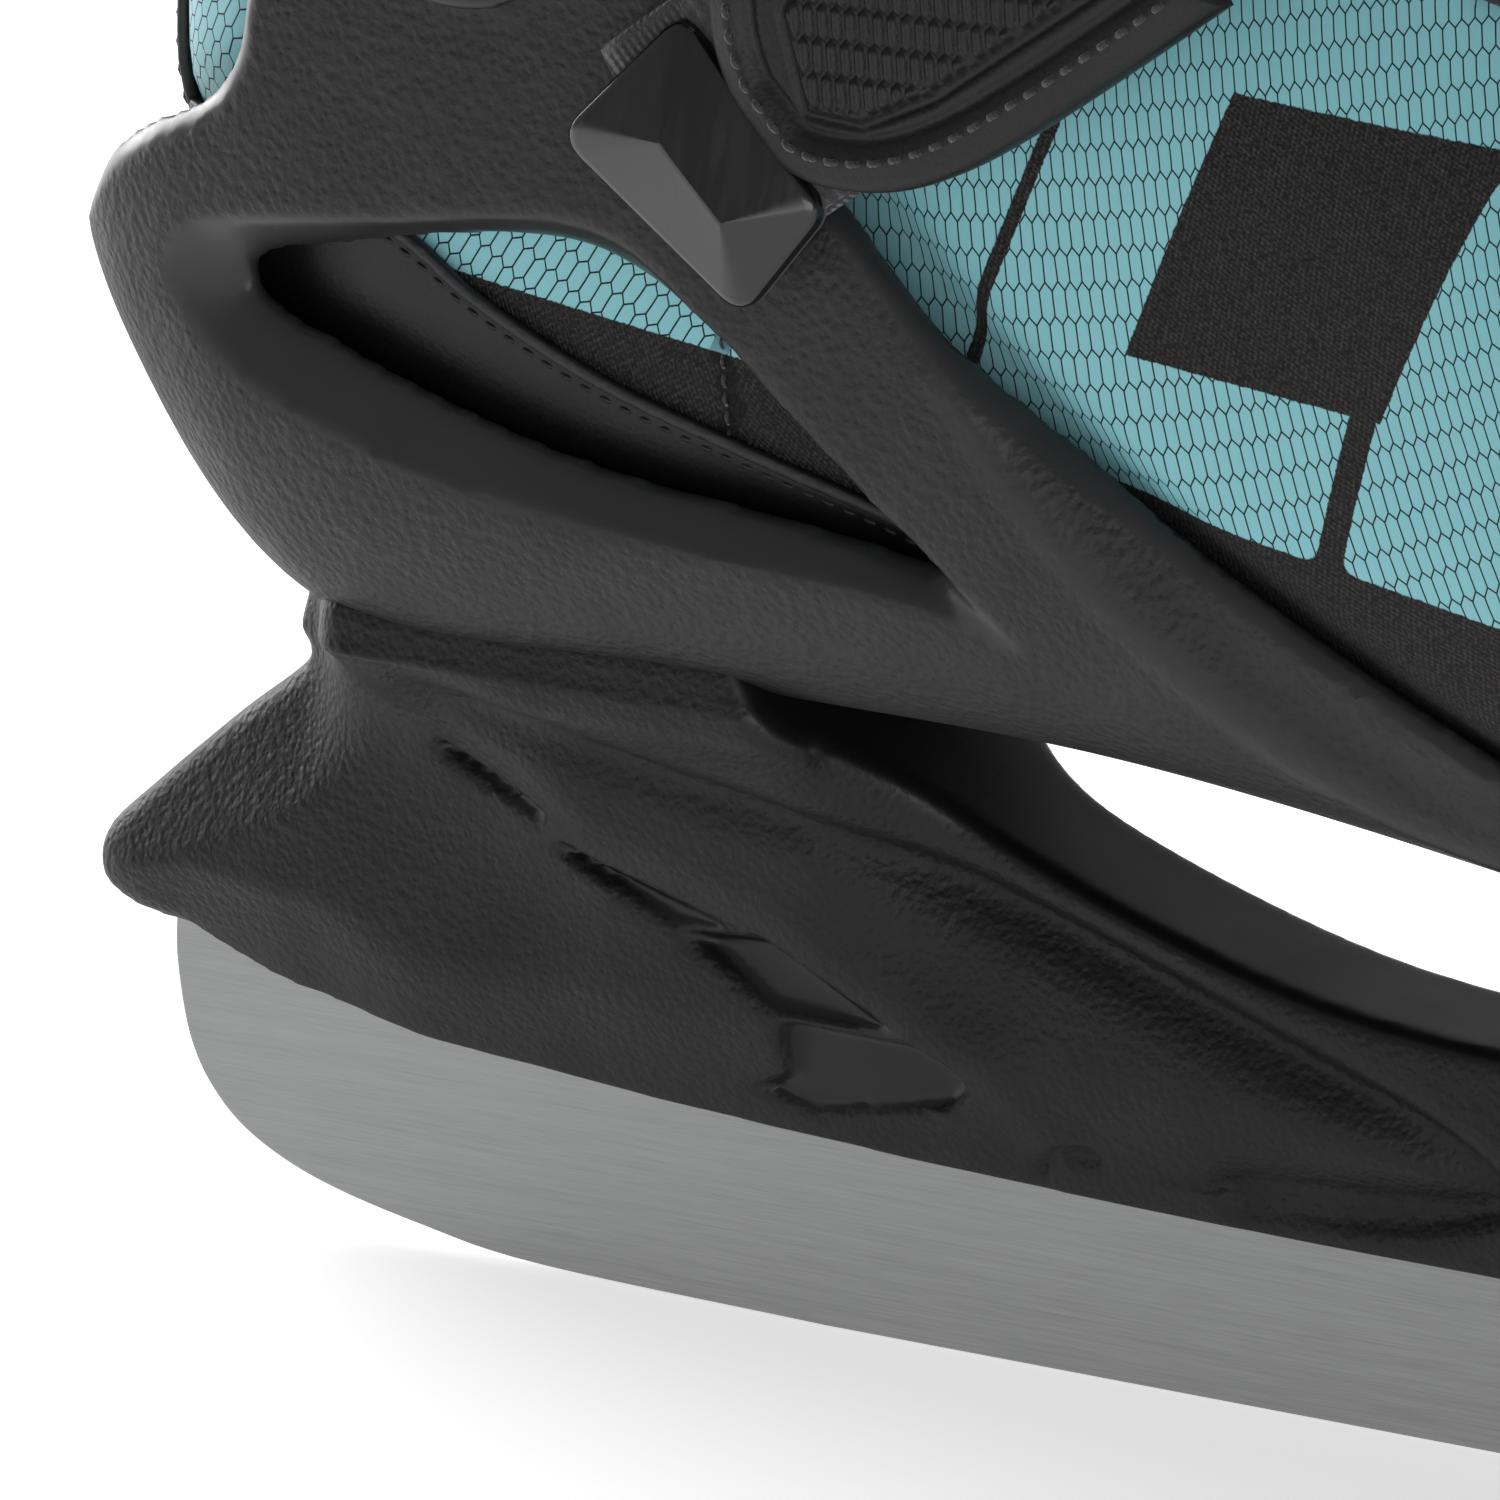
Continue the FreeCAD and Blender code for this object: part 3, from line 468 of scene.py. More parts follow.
# The black print in the side view, as X and Z: a square, the lower edge of the teal, where
# the teal ends at the toe and the collar, and stripes as start, end, half width and top.
SQUARE = [(-5.8, 137.7), (23.4, 135.6), (11.8, 109.7), (-16.7, 111.9)]
BAND_EDGE = ((-101.4, 109.6), (25.5, 92.4))
TEAL_END = (118, 250)
STRIPES = [((-14.8, 156), (-33.0, 114.5), 0.75, 220), ((10.2, 111), (4.6, 91), 1.45, 110.5),
           ((66, 140), (44, 98), 1.4, 220)]


def netting_lines(paint, along, upward):
    """1 on the black lines between long hexagon cells, 0 inside the cells."""
    across = paint.math("FLOORED_MODULO", paint.math("DIVIDE", along, CELL_WIDE), 1.0)
    across = paint.math("ABSOLUTE", paint.math("SUBTRACT", across, 0.5))
    up = paint.math("FLOORED_MODULO", paint.math("DIVIDE", upward, 2 * CELL_TALL), 1.0)
    up = paint.math("ABSOLUTE", paint.math("SUBTRACT", up, 0.5))
    beyond_end = paint.math("SUBTRACT", paint.math("MULTIPLY_ADD", across, CELL_POINT, up),
                            0.25 + CELL_POINT / 4)
    other_row = paint.math("GREATER_THAN", beyond_end, 0.0)
    side = paint.math("MULTIPLY_ADD", other_row, -0.5, 0.5)
    to_side = paint.math("ABSOLUTE", paint.math("SUBTRACT", side, across))
    steepness = math.hypot(CELL_POINT / CELL_WIDE, 0.5 / CELL_TALL)
    edge = paint.math("MINIMUM", paint.math("MULTIPLY", to_side, CELL_WIDE),
                      paint.math("DIVIDE", paint.math("ABSOLUTE", beyond_end), steepness))
    return paint.mapped(edge, 0.055, 0.105, 1.0, 0.0, True)


def print_distance(paint):
    """Distance in millimetres to the black print in the side view, below 0 inside it."""
    place = paint.node("ShaderNodeSeparateXYZ", {0: paint.place})
    x = paint.math("MULTIPLY", place.outputs[0], 1000.0)
    z = paint.math("MULTIPLY", place.outputs[2], 1000.0)

    def right_of(start, end):
        run = (end[0] - start[0], end[1] - start[1])
        length = math.hypot(*run)
        part = paint.math("MULTIPLY", x, run[1] / length)
        rest = paint.math("MULTIPLY_ADD", z, -run[0] / length,
                          (start[1] * run[0] - start[0] * run[1]) / length)
        return paint.math("ADD", part, rest)

    square = None
    for corner, after in zip(SQUARE, SQUARE[1:] + SQUARE[:1]):
        beside = paint.math("MULTIPLY", right_of(corner, after), -1.0)
        square = beside if square is None else paint.math("MAXIMUM", square, beside)
    band = paint.math("MULTIPLY", right_of(*BAND_EDGE), -1.0)
    dark = paint.math("MINIMUM", square, paint.math("SUBTRACT", TEAL_END[1], z))
    dark = paint.math("MINIMUM", dark, paint.math("SUBTRACT", TEAL_END[0], x))
    for start, end, half, top in STRIPES:
        beside = paint.math("SUBTRACT", paint.math("ABSOLUTE", right_of(start, end)), half)
        stripe = paint.math("MAXIMUM", beside, paint.math("SUBTRACT", z, top))
        dark = paint.math("MINIMUM", dark, paint.math("SMOOTH_MIN", band, stripe, 2.6))
    return dark


def printed_mesh(name):
    """Teal cloth under black netting of long hexagons, with black printed areas.
    'along' and 'upward' run with the netting in millimetres."""
    paint = Paint(name, (0.22, 0.5, 0.55), 0.4, Specular_IOR_Level=0.3)
    wobble = paint.math("MULTIPLY", paint.math("SUBTRACT", paint.noise(200.0, 1.0), 0.5), 0.3)
    along = paint.math("ADD", paint.attribute("along"), wobble)
    upward = paint.math("ADD", paint.attribute("upward"), wobble)
    net = netting_lines(paint, along, upward)
    threads = paint.math("SINE", paint.math("MULTIPLY", upward, 31.0))
    weft = paint.math("SINE", paint.math("MULTIPLY", along, 25.0))
    shine = paint.mapped(paint.math("MULTIPLY", threads, weft), -1, 1, 0.0, 1.0)
    teal = paint.mix(shine, (0.18, 0.455, 0.505), (0.27, 0.585, 0.635))
    toned = paint.mix(paint.mapped(paint.noise(28.0, 4.0), 0.3, 0.7, 0.0, 0.5), teal,
                      (0.2, 0.475, 0.525))
    netted = paint.mix(net, toned, (0.006, 0.012, 0.013))
    knit_up = paint.math("SINE", paint.math("MULTIPLY", upward, 7.4))
    knit_on = paint.math("SINE", paint.math("MULTIPLY_ADD", along, 9.0,
                                            paint.math("MULTIPLY", upward, 3.1)))
    knit = paint.mapped(paint.math("MULTIPLY", knit_up, knit_on), -1, 1, 0.0, 1.0)
    fibres = paint.mapped(paint.noise(2600.0, 3.0), 0.35, 0.75, 0.0, 1.6)
    knit = paint.math("MULTIPLY", knit, fibres)
    # painted highlight and shade: the black print is lighter on its raised knit loops and darker
    # between them, with uneven fibre flecks
    black = paint.mix(knit, (0.002, 0.002, 0.002), (0.055, 0.05, 0.048))
    fray = paint.math("MULTIPLY", paint.math("SUBTRACT", paint.noise(2300.0, 1.0), 0.5), 0.3)
    ragged = paint.math("ADD", print_distance(paint), fray)
    printed = paint.mapped(ragged, -0.06, 0.06, 1.0, 0.0)
    paint.set("Base Color", paint.mix(printed, netted, black))
    paint.set("Roughness", paint.mapped(paint.math("MAXIMUM", printed, net), 0, 1, 0.36, 0.72))
    relief = paint.math("ADD", paint.math("MULTIPLY", net, 0.5),
                        paint.math("MULTIPLY", paint.math("MULTIPLY", printed, knit), 1.1))
    relief = paint.math("ADD", relief, paint.math("MULTIPLY", shine, 0.12))
    paint.bump(relief, 0.0002)
    return paint.material


# The second colour of each is the lighter painted highlight for its smooth places.
HOLDER_PLASTIC = grained("holder_plastic", (0.0035, 0.0035, 0.0037), 1250.0, 0.00022,
                         (0.005, 0.005, 0.0053))
SHELL_PLASTIC = grained("shell_plastic", (0.013, 0.013, 0.0136), 1000.0, 0.0003,
                        (0.022, 0.022, 0.023))
CUFF_PLASTIC = grained("cuff_plastic", (0.011, 0.011, 0.0116), 1000.0, 0.0003,
                       (0.016, 0.016, 0.0168))
BUCKLE_PLASTIC = grained("buckle_plastic", (0.014, 0.014, 0.015), 1700.0, 0.00005)
GLOSS = glossy("gloss_black", (0.004, 0.004, 0.0045), 0.17)
BLADE_STEEL = brushed("blade_steel", (0.30, 0.302, 0.305), 0.42)
STEEL = brushed("steel_hardware", (0.5, 0.49, 0.47), 0.28, (1, 0.3, 0.3), 1800.0, 0.1)
DARK_STEEL = brushed("black_hardware", (0.03, 0.03, 0.032), 0.3, (1, 0.4, 0.4), 1500.0, 0.25)
BOOT_MESH = printed_mesh("printed_mesh")
TEXTILE = woven("black_textile", (0.014, 0.014, 0.015), 900.0, 0.00025)
LINER = woven("liner", (0.03, 0.03, 0.032), 700.0, 0.0004, 0.9)
WEBBING = woven("webbing", (0.012, 0.012, 0.013), 1300.0, 0.0003, 0.6, (1, 0.7, 1))
STITCH = woven("stitch_thread", (0.018, 0.018, 0.019), 2600.0, 0.0001, 0.55)
LEATHER = leather("black_leather", (0.012, 0.012, 0.0125), 0.5, 0.00014)
COUNTER = grained("counter_patent", (0.0045, 0.0045, 0.005), 1900.0, 0.00003, rough=0.4)
STRAP_SKIN = grained("strap_skin", (0.0065, 0.0065, 0.007), 1900.0, 0.00006, rough=0.46)

# ------------------------------------------------------------------ shell

WINDOW = smooth_line([(-115.6, 105.3), (-113.6, 108.2), (-104, 110.6), (-90, 113.6), (-75, 114.6),
                      (-61, 108.6), (-50, 100.2), (-41.7, 92.6), (-37.4, 88.2), (-48, 89.6),
                      (-60, 90.9), (-75, 92.6), (-90, 96.3), (-104, 100.6), (-112.6, 103.2)],
                     5, True)
WINDOW_BEVEL = smooth_line([(-125.6, 105.5), (-123, 109.6), (-117.5, 112.3), (-96, 115.4),
                            (-73, 118), (-60, 110.2), (-46, 97.4), (-35, 88.2), (-28.4, 81.4),
                            (-40.6, 84.6), (-62.6, 85.8), (-84.9, 88), (-104.2, 91.9),
                            (-117.3, 96.3), (-123.8, 101.6)], 5, True)
BACK_RIM = smooth_line([(-165, 107), (-150, 107.3), (-143.5, 108.6), (-139, 112), (-134, 116.6),
                        (-127, 120.8), (-119, 124.6), (-115, 129.4), (-112.6, 138), (-102, 152)], 6)
FRONT_RIM = smooth_line([(-66, 152), (-61, 144), (-53.5, 133), (-42, 120.8), (-31.7, 110.6),
                         (-13.4, 97.8), (4.7, 87.8), (25.7, 77.7), (46, 71), (70, 68.6),
                         (128, 71), (165, 82)], 6)
RIDGE = [(-44, 131), (-38, 117), (-33.5, 108.8), (-28.6, 100.8), (-17.8, 89), (-8.1, 80.9),
         (0.5, 74.5), (14, 67), (40, 56)]


def arc_over(centre, radius, steps=12):
    """Points over a half circle in the side view, from its back to its front."""
    angles = [math.pi * (1 - step / steps) for step in range(steps + 1)]
    return [(centre[0] + radius * math.cos(angle), centre[1] + radius * math.sin(angle))
            for angle in angles]


SHELL_EDGE = [*BACK_RIM, *arc_over(PIVOT, 18), *FRONT_RIM, (165, 0), (-165, 0)]


def pivot_discs(field, inner, outer, radius, bore):
    """A boss on each side round the ankle pivot, and the hole through it."""
    round_it = np.hypot(field.side_x - PIVOT[0], field.side_z - PIVOT[1])
    boss = np.maximum(field.side(round_it - radius),
                      np.abs(np.abs(field.y) - (inner + outer) / 2) - (outer - inner) / 2)
    return boss, field.side(bore - round_it)


WINDOW_DEPTH = 4.3
RIDGE_DEPTH = 2.9
RIM_CHAMFER = 3.0
PIVOT_BORE = 4.05


def make_shell():
    """The heel cup and sole tray, with a bevelled window and a ridged strut on each side."""
    field = Field((-151, -52, 50), (158, 52, 171), 1.02)
    x, z = field.side_x, field.side_z
    outer = field.of_form(*closed_form(SHELL_FORM))
    window = polyline_distance(x, z, WINDOW)
    bevel = polyline_distance(x, z, WINDOW_BEVEL)
    rim = polyline_distance(x, z, SHELL_EDGE)
    sunk = np.clip(-bevel / np.maximum(-bevel + np.maximum(window, 0), 0.01), 0, 1)
    push = WINDOW_DEPTH * sunk * (bevel < 0)
    ridge = polyline_distance(x, z, RIDGE, closed=False)
    ahead = polyline_distance(x, z, [*RIDGE, (200, 56), (200, 131)]) < 0
    fold = np.minimum(ridge * 0.5, RIDGE_DEPTH) * ramp(x, -46, -38) * (1 - ramp(x, 14, 60))
    fold = np.where(ahead, fold, 0)
    skin = outer + field.side(push + fold)
    thicker = 1.8 * (1 - ramp(-rim, 4, 9))
    inner = -(outer + field.side(np.minimum(push, 3.0) + fold + thicker) + WALL)
    skin = smooth_max(skin, inner, 0.6)
    skin = softly(skin, field.side(rim), RIM_CHAMFER)
    skin = softly(skin, field.side(-window + 0.2), 0.7)
    boss, bore = pivot_discs(field, 37.6, 40.8, 15, PIVOT_BORE)
    skin = np.maximum(np.minimum(skin, boss), bore)
    obj, points = field.mesh("shell_body", skin, SHELL_PLASTIC, "skate", 5)
    px, _, pz = points.T
    near_bevel = polyline_distance(px, pz, WINDOW_BEVEL)
    back = polyline_distance(px, pz, BACK_RIM, closed=False)
    front = polyline_distance(px, pz, FRONT_RIM, closed=False)
    ridge = polyline_distance(px, pz, RIDGE, closed=False)
    # Smooth places: no grain, lower roughness, and a lighter colour that is a painted highlight.
    smooth = np.maximum.reduce([1 - ramp(near_bevel, -0.4, 0.6), 1 - ramp(back, 3.0, 3.8),
                                1 - ramp(front, 2.6, 3.6), 0.7 * (1 - ramp(ridge, 1.0, 3.5))])
    attribute(obj, "smooth", smooth)
    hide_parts("shell")


# ------------------------------------------------------------------ blade holder

HOLDER_LINE = [*smooth_line([(-143.9, 29.6), (-150, 30.4), (-154.3, 33.2), (-154, 38.2),
                             (-148.5, 43.6), (-138, 52.6), (-129.6, 59.4), (-130.6, 62.4),
                             (-129.6, 66.2)], 5)]
ARCH = smooth_line([(-66, 72), (-62, 66.5), (-54.5, 60.6), (-44.6, 54.4), (-28.3, 48.4),
                    (-10.7, 44), (8, 42.2), (26, 42.4), (42, 45), (56, 51), (66, 60)], 6)
GROOVE = smooth_line([(-106, 64), (-91.7, 61.3), (-80.2, 58.4), (-65.5, 55.4), (-57, 52.4),
                      (-35.2, 45.3), (-13.2, 37.8), (1, 32.8), (6.6, 29), (6.5, 25.9),
                      (-2, 23.6), (-15.2, 22.2), (-20.7, 21.8)], 6)
RECESSES = [
    [(-109, 55.3), (-107.6, 56.4), (-94.4, 51.2), (-95.8, 49.3)],
    [(-94.6, 47.4), (-93.2, 48.2), (-74.6, 42.5), (-76, 41.4), (-81.4, 41.4)],
    [(-80.6, 40.6), (-79.2, 41), (-71.1, 41.6), (-56.4, 33.8), (-58, 33.4), (-71.1, 34)],
    [(-70.4, 32.6), (-69, 33.2), (-55.4, 32.8), (-50.6, 30.4), (-50, 28.6), (-52.4, 26.4),
     (-60, 24.6), (-68.8, 22.9), (-75.7, 24.6), (-70.6, 27.4)],
]
SEAM = smooth_line([(-143.9, 29.6), (-136.7, 26.8), (-129.6, 24.8), (-115.4, 23), (-101.3, 21.8),
                    (-87.4, 20.6), (-73.6, 19.8), (-59.9, 19.1), (-46.4, 18.6), (-19.7, 17.9),
                    (6.4, 17.7)], 5)


SOLE_LEVEL = 17.7
SLOT_HALF = 1.75
SLOT_TOP = 35.0
THINNEST = 3.3


def holder_outline(front):
    """The holder in the side view, from its front edge's X."""
    nose = smooth_line([(front - 12, 50), (front - 2, 36), (front - 0.5, 29), (front - 6, 24)], 5)
    return [*SEAM[::-1], *HOLDER_LINE[1:], (-129, 73), (-66, 73), *ARCH, (66, 61.5),
            (front - 22, 61.5), (front - 18, 56), *nose, (front - 16, 19),
            (front - 34, SOLE_LEVEL)]


def holder_thickness(x, z, side):
    """Half the holder's width over the side view: slim at the blade, flared at the towers,
    with a groove, four recesses and a notch let into each side."""
    roof = np.where(x < 0, 67.5, 62.0)
    rise = (z - SOLE_LEVEL) / (roof - SOLE_LEVEL)
    tower = np.maximum(np.exp(-(np.maximum(np.abs(x + 96) - 30, 0) / 12) ** 2),
                       np.exp(-(np.maximum(np.abs(x - 98) - 34, 0) / 12) ** 2))
    corner_x = np.maximum(np.maximum(-106 - x, x - 109), 0)
    plan = np.sqrt(np.clip(1 - (corner_x / 24.5) ** 2, 0, 1))
    flare = 2.6 + 7.0 * ramp(-x, 88, 122)
    thick = 4.2 + 5.2 * ramp(z, 18, 34) + 15.0 * tower * plan * np.clip(rise, 0, 1) ** flare
    thick += 1.5 * np.exp(-((z - 64.5) / 2.6) ** 2) * (x < -60)
    thick *= 1 - 0.42 * ramp(-x, 122, 158)
    groove = polyline_distance(x, z, GROOVE, closed=False)
    pad = polyline_distance(x, z, [*GROOVE, (-106, 24)]) < 0
    under = 2.4 * np.exp(-(groove / 3.2) ** 2) + 0.8 * np.exp(-groove / 10)
    above = 3.2 * np.exp(-(groove / 1.8) ** 2)
    thick -= np.where(pad, under, above) * ramp(x, -112, -98)
    crease = polyline_distance(x, z, [(-112, 64), (-90, 52), (-70, 45), (-48, 33), (-42, 25)],
                               closed=False)
    thick += 0.8 * np.exp(-(crease / 3.2) ** 2)
    for recess in RECESSES:
        inside = polyline_distance(x, z, recess)
        top_edge = max(point[1] for point in recess)
        low_edge = min(point[1] for point in recess)
        fall = np.clip((z - low_edge) / (top_edge - low_edge), 0, 1)
        thick -= (1.1 + 1.9 * fall) * (1 - ramp(inside, -0.9, 0.5))
    notch = polyline_distance(x, z, smooth_line([(-43.6, 21.2), (-40.5, 23.5), (-37.3, 23.6)], 5),
                              closed=False)
    thick -= 1.2 * np.exp(-(notch / 0.8) ** 2)
    thick = np.maximum(thick, THINNEST)
    tail = 3.0 + 0.5 * np.maximum(-side, 0)
    slimmer = thick + (np.minimum(tail, thick) - thick) * ramp(-x, 112, 128)
    return np.where(x < -100, slimmer, thick)


def make_holder():
    low, high = (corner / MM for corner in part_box("blade_holder"))
    field = Field((low.x - 3, -27, low.z - 3), (high.x + 3, 27, high.z + 3), 0.79)
    side = polyline_distance(field.side_x, field.side_z, holder_outline(high.x))
    thick = holder_thickness(field.side_x, field.side_z, side)
    slope = np.sqrt(1 + sum(part ** 2 for part in np.gradient(thick, field.step)))
    body = (np.abs(field.y) - field.side(thick)) / field.side(slope)
    body = smooth_max(body.astype(np.float32), field.side(side), 2.4)
    slot = np.maximum(np.abs(field.y) - SLOT_HALF, field.side(field.side_z - SLOT_TOP))
    body = np.maximum(body, -slot)
    obj, points = field.mesh("holder_body", body, HOLDER_PLASTIC, "skate", 2)
    px, _, pz = points.T
    arch = polyline_distance(px, pz, ARCH, closed=False)
    # Smooth places: no grain, lower roughness, and a lighter colour that is a painted highlight.
    smooth = [1 - ramp(polyline_distance(px, pz, recess), -0.6, 0.2) for recess in RECESSES]
    attribute(obj, "smooth", np.maximum.reduce([*smooth, 1 - ramp(arch, 0.8, 1.8)]))
    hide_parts("blade_holder")


# ------------------------------------------------------------------ ankle cuff

CUFF_LINE = [*smooth_line([(-70, 152), (-74.1, 142.1), (-84, 138), (-93.9, 142.1), (-98, 152),
                           (-112, 164), (-128, 168), (-150, 172)], 6), (-165, 172), (-165, 276),
             *smooth_line([(-150, 276), (-118, 273.4), (-94, 264), (-68, 260.4), (-42, 266),
                           (-30, 264), (-26.6, 256), (-27, 243), (-27, 224), (-30, 204),
                           (-42, 188), (-58, 176), (-67, 164)], 6)]


def make_cuff():
    field = Field((-148, -52, 134), (-20, 52, 280), 1.2)
    x, z = field.side_x, field.side_z
    outer = field.of_form(*closed_form(CUFF_FORM, top=3.0, bottom=3.0))
    side = polyline_distance(x, z, CUFF_LINE)
    skin = smooth_max(outer, -(outer + WALL), 0.6)
    skin = softly(skin, field.side(side), 2.0)
    boss, bore = pivot_discs(field, 41.3, 45.6, 14, PIVOT_BORE)
    skin = np.maximum(np.minimum(skin, boss), bore)
    obj, points = field.mesh("cuff_body", skin, CUFF_PLASTIC, "cuff")
    edge = np.abs(polyline_distance(points[:, 0], points[:, 2], CUFF_LINE))
    # Smooth edges: no grain, lower roughness, and a lighter colour that is a painted highlight.
    attribute(obj, "smooth", 1 - ramp(edge, 1.6, 2.5))
    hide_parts("cuff")


make_shell()
make_holder()
make_cuff()


# ------------------------------------------------------------------ boot

BOOT_WALL = 4.5
THROAT_HALF = 22.0
THROAT_START = 4.55
TUCK = 3.4


def throat_angle(u, half):
    """How far round from the top a section of the boot meets the throat's edge."""
    _, _, width = section(BOOT_FORM, u)
    opening = half * float(ramp(u, THROAT_START - 0.35, THROAT_START + 0.5)) ** 0.6
    return math.asin(min((opening / width) ** 1.1, 1.0))


PANEL_SEAM = -64.0
NET_LEVEL = 105.0
HEEL_LEAN = 0.71


def netting(x, z):
    """Where a place on the unrolled cloth is on the netting. The front panel's long cells
    lean back a little and turn with the foot; the heel panel's lean well forward."""
    z = z - NET_LEVEL
    lean = np.clip(0.3 + 0.0057 * x, -0.05, 0.5)
    above = np.clip(z, -32, 45)
    inner = np.clip(x, -61, 35)
    drop = 0.3 * inner + 0.00285 * inner ** 2 + lean * (x - inner)
    stretch = math.hypot(1, HEEL_LEAN)
    heel_along = (x - HEEL_LEAN * z) / stretch
    heel_up = (z + HEEL_LEAN * x) / stretch
    at_heel = x < PANEL_SEAM
    return (np.where(at_heel, heel_along, x + lean * above),
            np.where(at_heel, heel_up, z - drop))


def unrolled(skin, angles_of):
    """The skin's places laid flat in the side view: each ring straightened along its own
    line, from its widest points up to the top and down to the sole."""
    steps = np.linalg.norm(np.diff(skin, axis=1), axis=2)
    length = np.concatenate([np.zeros((len(skin), 1)), np.cumsum(steps, 1)], 1)
    x = np.empty(skin.shape[:2])
    z = np.empty(skin.shape[:2])
    for row, angles in enumerate(angles_of):
        first, last = (np.interp(turn * math.pi, angles, length[row]) for turn in (0.5, 1.5))
        rise = np.where(angles <= math.pi, first - length[row], length[row] - last)
        middle = np.array([np.interp(0.5 * math.pi, angles, skin[row, :, axis])
                           for axis in (0, 2)])
        sole = np.array([np.interp(math.pi, angles, skin[row, :, axis]) for axis in (0, 2)])
        axis = (middle - sole) / max(np.linalg.norm(middle - sole), 1e-6)
        x[row] = middle[0] + axis[0] * rise
        z[row] = middle[1] + axis[1] * rise
    return x, z


def make_boot():
    """The boot's upper and sole as one lined skin, tucked in where the shell covers it."""
    rows = 200
    columns = 181
    top = len(BOOT_FORM) - 1.0
    turns = []
    skin = []
    for row in range(rows):
        u = top * row / (rows - 1)
        first = throat_angle(u, THROAT_HALF)
        turns.append(np.linspace(first, 2 * math.pi - first, columns))
        skin.append(ring(BOOT_FORM, u, turns[-1]))
    skin = np.array(skin)
    spread = np.abs(np.linspace(-1, 1, columns))[None, :]
    crown = 0.5 * np.sin(skin[..., 2] / 21) * ramp(skin[..., 2], 150, 190)
    skin[..., 1] += np.sign(skin[..., 1]) * crown * (1 - spread ** 6)
    shelled = polyline_distance(skin[..., 0], skin[..., 2], SHELL_EDGE)
    tuck = TUCK * (1 - ramp(shelled, -3, 4)) * ramp(skin[..., 2], 66, 72)
    skin[..., 1] *= 1 - tuck / np.maximum(np.abs(skin[..., 1]), 24)
    toe = skin[0].mean(0)
    points = np.concatenate([skin.reshape(-1, 3), [toe]])
    faces = grid_faces(rows, columns)
    last = rows * columns
    faces += [(column + 1, column, last) for column in range(columns - 1)]
    boot = piece("boot_upper", points, faces, BOOT_MESH)
    net_x, net_z = netting(*unrolled(skin, turns))
    attribute(boot, "along", [*net_x.ravel(), 0])
    attribute(boot, "upward", [*net_z.ravel(), 0])
    boot.data.materials.append(LINER)
    applied(boot, "WELD", merge_threshold=0.0002)
    applied(boot, "SOLIDIFY", thickness=BOOT_WALL * MM, offset=-1, material_offset=1,
            use_even_offset=False)
    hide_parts("boot_lower", "boot_collar")
    return boot, skin


def tube(name, path, across, radii, material, body, sides=10, closed=False):
    """A bar with an oval section along a path; 'across' is the section's first side."""
    path = np.array(path, float)
    count = len(path)
    ahead = np.roll(path, -1, 0) - np.roll(path, 1, 0) if closed else np.gradient(path, axis=0)
    ahead /= np.linalg.norm(ahead, axis=1)[:, None]
    across = np.broadcast_to(np.array(across, float), path.shape)
    side = across - (across * ahead).sum(1)[:, None] * ahead
    side /= np.linalg.norm(side, axis=1)[:, None]
    up = np.cross(ahead, side)
    angles = np.arange(sides) / sides * 2 * math.pi
    power = 0.6 if sides > 10 else 1.0
    cos = np.sign(np.cos(angles)) * np.abs(np.cos(angles)) ** power
    sin = np.sign(np.sin(angles)) * np.abs(np.sin(angles)) ** power
    points = (path[:, None] + side[:, None] * (radii[0] * cos)[None, :, None]
              + up[:, None] * (radii[1] * sin)[None, :, None])
    faces = grid_faces(count, sides, closed=True)
    if closed:
        last = (count - 1) * sides
        faces += [(last + k, last + (k + 1) % sides, (k + 1) % sides, k) for k in range(sides)]
    else:
        faces.append(tuple(range(sides))[::-1])
        faces.append(tuple((count - 1) * sides + k for k in range(sides)))
    return piece(name, points.reshape(-1, 3), faces, material, body)


def patch(name, rows, thick, material, body=None):
    """A sheet of even thickness from a grid of points on its inner face."""
    obj = piece(name, rows.reshape(-1, 3), grid_faces(rows.shape[0], rows.shape[1]), material)
    applied(obj, "SOLIDIFY", thickness=thick * MM, offset=1, use_even_offset=False)
    applied(obj, "BEVEL", width=min(thick * 0.42, 0.9) * MM, segments=3, limit_method="ANGLE",
            angle_limit=math.radians(50))
    obj.data.polygons.foreach_set("use_smooth", [True] * len(obj.data.polygons))
    if body:
        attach(obj, body)
    return obj


def boot_tree(boot):
    """Finds places on the boot's outside, from a point level with its middle line."""
    graph = bpy.context.evaluated_depsgraph_get()
    return BVHTree.FromObject(boot, graph)


def on_boot(tree, around, z, grow):
    """The boot's surface at a height: 'around' is X on the lateral side, and runs on round
    the heel as an arc length to the medial side."""
    if around > HEEL_X:
        start = Vector((around, -80, z))
        way = Vector((0, 1, 0))
    elif around > HEEL_X - HEEL_ARC:
        angle = (HEEL_X - around) / HEEL_ROUND
        way = Vector((math.sin(angle), math.cos(angle), 0))
        start = Vector((HEEL_X, 0, z)) - way * 80
    else:
        start = Vector((2 * HEEL_MIDDLE - around, 80, z))
        way = Vector((0, -1, 0))
    hit = tree.ray_cast(start * MM, way)[0]
    if hit is None:
        hit = (start + way * 44) * MM
    return np.array(hit) / MM - np.array(way) * grow


def stitches(name, line, normals, pitch, material, body, radius=0.32, share=0.68):
    """Short raised threads along a line."""
    line = np.array(line)
    steps = np.linalg.norm(np.diff(line, axis=0), axis=1)
    total = np.concatenate([[0], np.cumsum(steps)])
    count = int(total[-1] / pitch)
    parts = []
    for index in range(count):
        at = (index + 0.5) * pitch + np.linspace(-0.5, 0.5, 5) * pitch * share
        run = np.stack([np.interp(at, total, line[:, axis]) for axis in range(3)], 1)
        out = np.stack([np.interp(at, total, normals[:, axis]) for axis in range(3)], 1)
        lift = np.array([-0.3, 0.12, 0.26, 0.12, -0.3])[:, None] * radius / 0.32
        parts.append(tube(name, run + out * lift, out, (radius * 0.8, radius), material, None, 6))
    made = joined(name, parts)
    if body:
        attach(made, body)
    return made


